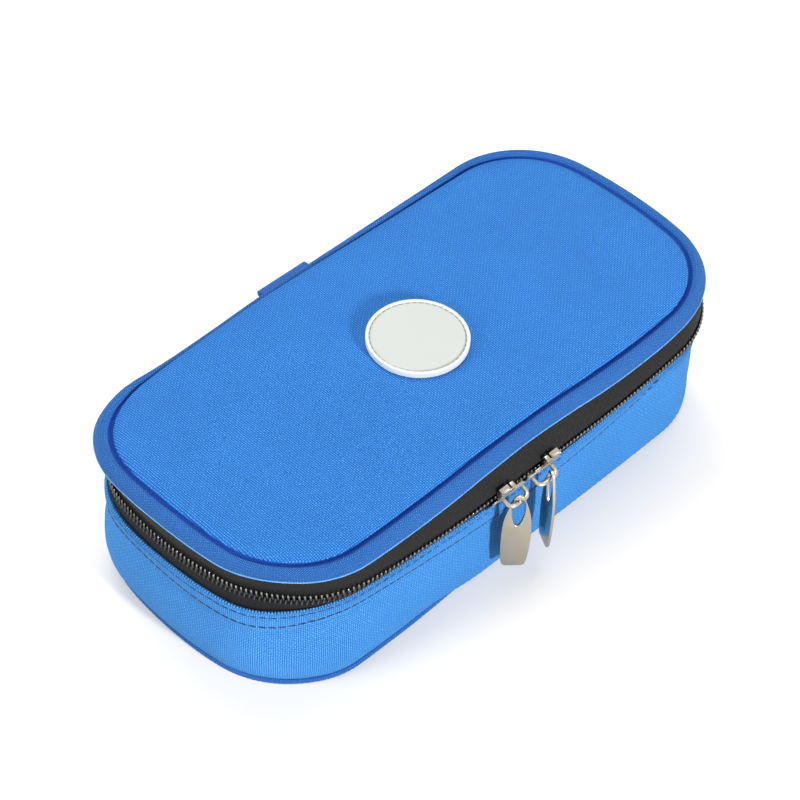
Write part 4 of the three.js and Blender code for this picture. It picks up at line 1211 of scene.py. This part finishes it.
white_foam = cellular("white_foam", (0.82, 0.82, 0.78), (0.66, 0.66, 0.62), 1400.0)
grey_board = cellular("grey_board", (0.36, 0.36, 0.35), (0.26, 0.26, 0.25), 700.0)
for name, material in (("base_bottom_foam", white_foam), ("base_wall_foam", white_foam),
                       ("lid_foam", white_foam), ("lid_stiffener", grey_board),
                       ("divider_board", grey_board)):
    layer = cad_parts[name]
    layer.data.materials.clear()
    layer.data.materials.append(material)


# ---- Foil liners ----
# A silver foil film lines the tray, the lid and the divider's underside to keep the cold in. It is
# laid loose over the foam, so it creases a little.
def layers_round(name, outline, levels, crease, seed):
    """A skin over rings that follow an outline. A level is (out, height, share, crease share)."""
    rows = []
    for x, y, nx, ny, _ in outline:
        row = []
        for out, z, share, creased in levels:
            px, py = (x + out * nx) * share, (y + out * ny) * share
            lift = noise.noise(Vector((px * 0.09, py * 0.09, z * 0.09 + seed)))
            fold = noise.noise(Vector((px * 0.25, py * 0.25, z * 0.25 - seed)))
            lift = crease * creased * (0.6 * lift + 0.4 * (1 - 2 * abs(fold)))
            inward = 1 if z > 8 and share == 1 and out > -8 else 0
            row.append((px - nx * lift * inward, py - ny * lift * inward,
                        z + lift * (1 - inward)))
        rows.append(row)
    piece = laid_out(name, rows, [s[4] for s in outline])
    flat_uv(piece)
    return piece


def thicken(piece, thickness, offset):
    """Gives a skin its thickness."""
    modify(piece, "SOLIDIFY", thickness=thickness * mm, offset=offset)


def crinkled(name, bright, dull, roughness):
    """Metallised film with fine creases, darker along the creases as painted shade."""
    material, tree, shader = blank_material(name)
    place = node(tree, "ShaderNodeTexCoord").outputs["Object"]
    warp = node(tree, "ShaderNodeTexNoise", {"Vector": place, "Scale": 90.0, "Detail": 3.0})
    shifted = mix_of(tree, 0.02, place, warp.outputs["Color"])
    crack = node(tree, "ShaderNodeTexVoronoi", {"Vector": shifted, "Scale": 230.0},
                 feature="DISTANCE_TO_EDGE")
    crease = math_of(tree, "POWER", crack.outputs["Distance"], 0.35)
    fill(shader, {"Base Color": mix_of(tree, crease, dull, bright), "Metallic": 0.85,
                  "Roughness": roughness, "Normal": bump_of(tree, crease, 0.35, 0.6)})
    return material


silver_foil = crinkled("silver_foil", (0.78, 0.80, 0.83), (0.55, 0.57, 0.60), 0.32)
tray_levels = [(-5.9, z, 1, share) for z, share in (
    (30.2, 0.0), (27.0, 0.4), (23.5, 0.8), (20.0, 1.0), (16.5, 1.0), (13.0, 1.0), (10.0, 0.8))]
tray_levels += [(-5.95, 7.6, 1, 0.3), (-6.5, 6.1, 1, 0.0), (-7.7, 5.35, 1, 0.0)]
tray_levels += [(-8.5, 5.22, share, 0.5) for share in (0.98, 0.92, 0.84, 0.74, 0.62, 0.48, 0.32,
                                                      0.16, 0.0)]
tray_round = bowed_outline(*base_size, step=2.4)
tray_liner = layers_round("tray_liner", tray_round, tray_levels, crease=0.34, seed=1.0)
edit(tray_liner, lambda: bpy.ops.mesh.normals_make_consistent(inside=True))
thicken(tray_liner, 0.45, offset=-1)
settle(tray_liner, silver_foil, "base", "foil", "base_foil_liner", degrees=60)

lid_levels = [(-4.75, 45.0, 1, 0), (-4.75, 44.62, 1, 0)]
lid_levels += [(-6.0, 44.75, share, 1.0) for share in (0.985, 0.93, 0.86, 0.78, 0.68, 0.56, 0.42,
                                                      0.26, 0.10, 0.0)]
lid_liner = layers_round("lid_liner", bowed_outline(*lid_size, step=2.4), lid_levels,
                         crease=0.16, seed=4.0)
thicken(lid_liner, 0.25, offset=1)
settle(lid_liner, silver_foil, "lid", "foil", "lid_foil_liner", degrees=60)

flap_levels = [(-11.6, 20.5, 1, 0), (-11.6, 20.1, 1, 0)]
flap_levels += [(-12.5, 20.22, share, 1.0) for share in (0.985, 0.92, 0.84, 0.74, 0.62, 0.48, 0.32,
                                                        0.16, 0.0)]
flap_foil = layers_round("divider_film", tray_round, flap_levels, crease=0.14, seed=8.0)
thicken(flap_foil, 0.2, offset=1)
settle(flap_foil, silver_foil, "divider", "foil", "divider_foil", degrees=60)


# ---- Tray's bound rim ----
# A bias strip of the blue cloth is folded over the top of the foam and the foil liner, and a row
# of dark stitches below the edge holds it through both.
rim_section = (
    (-2.25, 30.3), (-2.15, 31.0), (-2.5, 31.7), (-3.3, 32.0), (-4.3, 32.0), (-5.3, 31.75),
    (-5.95, 31.1), (-6.12, 30.2), (-6.12, 27.4), (-5.95, 27.2), (-5.75, 28.5), (-5.6, 30.25),
)


def rim_at(way, walked):
    rise = 0.07 * wobble(walked, 16, 10)
    return [(out, z + (rise if z > 31.5 else 0)) for out, z in rim_section]


settle(run_round("tray_rim", bowed_outline(*base_size, step=1.8), rim_at), blue_bias,
       "base", "blue_binding", "base_rim_binding", degrees=55)
sew("rim_stitches", places_round(base_round, 3.0, lambda way: (-6.14, 28.2)), (1.1, 0.2, 0.2),
    navy_thread, "base", "blue_binding")


# ---- Net pocket under the lid ----
# A knotted black nylon net, laid on the slant, is sewn to the lid's liner for needles and swabs.
# A flat bias frame binds its edge, with two rows of dark stitches.
def net_frame(way, walked):
    sag = 0.06 * wobble(walked, 14, 11)
    return [(-14.7, 44.25), (-14.9, 43.75 + sag), (-15.8, 43.45 + sag), (-17.7, 43.40 + sag),
            (-19.6, 43.45 + sag), (-20.5, 43.75 + sag), (-20.7, 44.25)]


settle(run_round("net_frame", lid_round, net_frame), blue_bias, "lid", "blue_binding",
       "lid_net_binding", degrees=50)
net_rows = [place for out in (-15.7, -19.7)
            for place in places_round(lid_round, 3.0, lambda way: (out, 43.42))]
sew("net_frame_stitches", net_rows, (1.1, 0.18, 0.14), navy_thread, "lid", "blue_binding")

net_pitch, net_reach = 2.7, 82.0
net_cells = round(2 * net_reach / net_pitch)
bpy.ops.mesh.primitive_grid_add(x_subdivisions=net_cells, y_subdivisions=net_cells,
                                size=2 * net_reach * mm)
net = bpy.context.object
net.name = "pocket_net"
net_height, net_inset = 43.92, 19.8
net.data.transform(Matrix.Translation((0, 0, net_height * mm))
                   @ Matrix.Diagonal((1.0, 0.66, 1.0, 1)) @ Matrix.Rotation(math.pi / 4, 4, "Z")
                   @ Matrix.Diagonal((1.42, 1.42, 1.0, 1)))
net_edge = [(x - net_inset * nx, y - net_inset * ny) for x, y, nx, ny, _ in lid_round[:-1]]


def within(loop, x, y):
    """Whether a point lies inside a closed loop of points."""
    inside = False
    for (x1, y1), (x2, y2) in zip(loop, loop[1:] + loop[:1]):
        if (y1 > y) != (y2 > y) and x < (x2 - x1) * (y - y1) / (y2 - y1) + x1:
            inside = not inside
    return inside


on_faces(net, lambda face: not within(net_edge, face.center.x / mm, face.center.y / mm),
         lambda: bpy.ops.mesh.delete(type="FACE"))
modify(net, "WIREFRAME", thickness=0.42 * mm, use_boundary=True, use_even_offset=False)
net_black = thread_finish("net_black", (0.030, 0.031, 0.034))
settle(net, net_black, "lid", "black_zip", "lid_net_pocket", degrees=40)


# ---- Gel packs ----
# Two flat packs of blue gel lie in the tray. Each is two films welded together round their edges,
# and the gel swells it like a small cushion.
gel_film, tree, shader = blank_material("gel_film")
place = node(tree, "ShaderNodeTexCoord").outputs["Object"]
swirl = noise_of(tree, place, 45.0, 4.0, Distortion=0.6)
bubble = node(tree, "ShaderNodeTexVoronoi", {"Vector": place, "Scale": 320.0})
fizz = node(tree, "ShaderNodeClamp", {
    0: math_of(tree, "MULTIPLY_ADD", bubble.outputs["Distance"], -9.0, 1.2)}).outputs[0]
tint = mix_of(tree, swirl, (0.20, 0.48, 0.78), (0.42, 0.68, 0.88))
fizzed = mix_of(tree, math_of(tree, "MULTIPLY", fizz, 0.35), tint, (0.80, 0.90, 0.96))
fill(shader, {"Base Color": fizzed, "Roughness": 0.2, "Coat Weight": 0.5,
              "Normal": bump_of(tree, swirl, 0.6, 0.3)})


def round_rectangle(length, width, radius, steps=8):
    """Points round a rectangle with round corners, centred on the origin, in mm."""
    points = []
    for k, (sx, sy) in enumerate(((1, 1), (-1, 1), (-1, -1), (1, -1))):
        for i in range(steps + 1):
            angle = math.pi / 2 * (k + i / steps)
            points.append((sx * (length / 2 - radius) + radius * math.cos(angle),
                           sy * (width / 2 - radius) + radius * math.sin(angle)))
    return points


# heights of a pack's middle, and the lowest and highest that its swollen films may lie
pack_middle, pack_floor, pack_top = 12.6, 5.55, 19.6
half_long, half_wide, border = 39.0, 32.0, 9.0
for side in ("left", "right"):
    low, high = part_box("gel_pack_" + side)
    middle = (low + high) / 2
    cushion = round_rectangle(2 * half_long, 2 * half_wide, border)
    pack = slab_of("gel_pack_film_" + side, cushion, 9.4, 15.8, 1.2)
    modify(pack, "REMESH", mode="VOXEL", voxel_size=2.6 * mm)
    held_at(pack, 0.6, lambda co: (abs(co.x) > (half_long - 1) * mm
                                   or abs(co.y) > (half_wide - 1) * mm))
    swell(pack, 5.0, 3.0, stiff=12)
    for vertex in pack.data.vertices:
        x, y, z = vertex.co / mm
        inside = min(half_long - abs(x), half_wide - abs(y), border)
        full = (max(0.0, inside) / border) ** 0.5
        rise = ((z - pack_middle) * (0.35 + 0.65 * full)
                + (1.2 * full if z > pack_middle else -1.2 * full))
        pucker = 0.35 * (1 - full) * math.sin(x * 0.9) * math.sin(y * 0.9 + 1)
        vertex.co.z = max(pack_floor, min(pack_top, pack_middle + rise + pucker)) * mm
    rounder(pack)
    flange = slab_of("weld", round_rectangle(84.2, 70.6, border), 12.25, 12.95, 0.2)
    pack = joined("gel_pack_film_" + side, [pack, flange])
    pack.data.transform(Matrix.Translation((middle.x, middle.y, 0)))
    settle(pack, gel_film, "base", "gel", "gel_pack_" + side, degrees=45)


# ---- Divider ----
# A stiff flap covered in the blue cloth lies on the packs and lifts on a strip sewn to the rim. It
# has a bound edge, a pull tab and two rows of black elastic loops that hold the pens.
divider_top = flat_panel("divider_cloth", tray_round, -11.3, 22.45, 23.0, soft=0.15)
settle(divider_top, blue_cloth, "divider", "blue_fabric", "divider_cover")


def flap_edge(way, walked):
    bulge = 0.06 * wobble(walked, 12, 12)
    return [(-11.6, 19.9), (-10.4, 19.75), (-9.6, 20.2 + bulge), (-9.3 + bulge, 21.5),
            (-9.6, 22.8), (-10.4, 23.25 + bulge), (-11.9, 23.2), (-12.1, 22.9), (-11.6, 22.5),
            (-11.4, 21.5), (-11.6, 20.5)]


settle(run_round("divider_edge", tray_round, flap_edge), blue_bias, "divider", "blue_binding",
       "divider_binding", degrees=50)
sew("divider_stitches", places_round(base_round, 3.0, lambda way: (-11.2, 23.25)), (1.1, 0.2, 0.2),
    navy_thread, "divider", "blue_binding")


def hinge_section(x):
    sway = 0.05 * noise.noise(Vector((x * 0.2, 5.0, 0.0)))
    return [(38.9, 19.85), (40.9, 19.85), (41.55, 20.2), (41.66, 21.0), (41.62 + sway, 26.0),
            (41.66, 31.0), (41.6, 31.9), (41.3, 32.1), (41.1, 31.8), (41.16, 31.0),
            (41.12 + sway, 26.0), (41.16, 21.0), (40.9, 20.4), (38.9, 20.35)]


hinge = strip_along_x("divider_hinge", 46.0, hinge_section)
hinge.data.materials.append(blue_cloth)
smooth(hinge, 45)
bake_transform(hinge)
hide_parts("divider_hinge_strip")

pen_pitch = 17.375


def elastic_path():
    """The mid line of one elastic band over four pens, as (y, height) from the divider's top."""
    radius, spring, flat = 7.69, 10.1, 34.7
    side = ((radius + 0.75, 0.42), (radius + 0.2, 0.75), (radius, 1.6), (radius, 4.4),
            (radius, 7.4))
    points = [(-flat, 0.42)]
    for k in range(4):
        middle = (k - 1.5) * pen_pitch
        points += [(middle - y, z) for y, z in side]
        for i in range(13):
            angle = math.pi * (1 - i / 12)
            points.append((middle + radius * math.cos(angle), spring + radius * math.sin(angle)))
        points += [(middle + y, z) for y, z in reversed(side)]
    return points + [(flat, 0.42)]


elastic = woven("black_elastic", (0.022, 0.023, 0.026), (0.075, 0.077, 0.082),
                (0.006, 0.006, 0.007), warp=1.15, weft=0.5, relief=0.18, sheen=0.2, roughness=0.75)
path = elastic_path()
flap_top, sewn_at = 23.3, 24.12      # heights of the flap and of the stitches on its elastic
loops_at = 52      # how far to each side the middle of a row of loops lies
for side, sign in (("left", -1), ("right", 1)):
    rows, us = [], []
    for i in range(21):
        x = sign * loops_at - 11 + 1.1 * i
        rib = 0.10 * math.cos(i * math.pi)
        rows.append([(x, y, flap_top + z + (rib if z > 1 else 0)) for y, z in path])
        us.append(x)
    band = laid_out("elastic_loops_" + side, rows, us, measured(path))
    thicken(band, 0.75, offset=0)
    rounder(band)
    settle(band, elastic, "divider", "black_zip", "pen_loops_" + side, degrees=50)
    tacks = [facing(sign * loops_at - 9.9 + 2.2 * i, max(-34.2, min(34.2, k * pen_pitch)),
                    sewn_at, 0, 1) for k in range(-2, 3) for i in range(10)]
    sew("loop_tacks_" + side, tacks, (0.8, 0.16, 0.12), net_black, "divider", "black_zip")

tab_points = round_rectangle(12.0, 15.0, 1.2, steps=4)
tab = slab_of("pull_tab", [(x, y - 28.45) for x, y in tab_points], 23.32, 24.1, 0.15)
settle(tab, black_tape, "divider", "black_zip", "divider_pull_tab")
tab_places = [facing(-4.4 + 2.2 * i, y, sewn_at, 0, 1) for i in range(5) for y in (-22.4, -27.0)]
sew("tab_stitches", tab_places, (0.8, 0.17, 0.12), navy_thread, "divider", "black_zip")
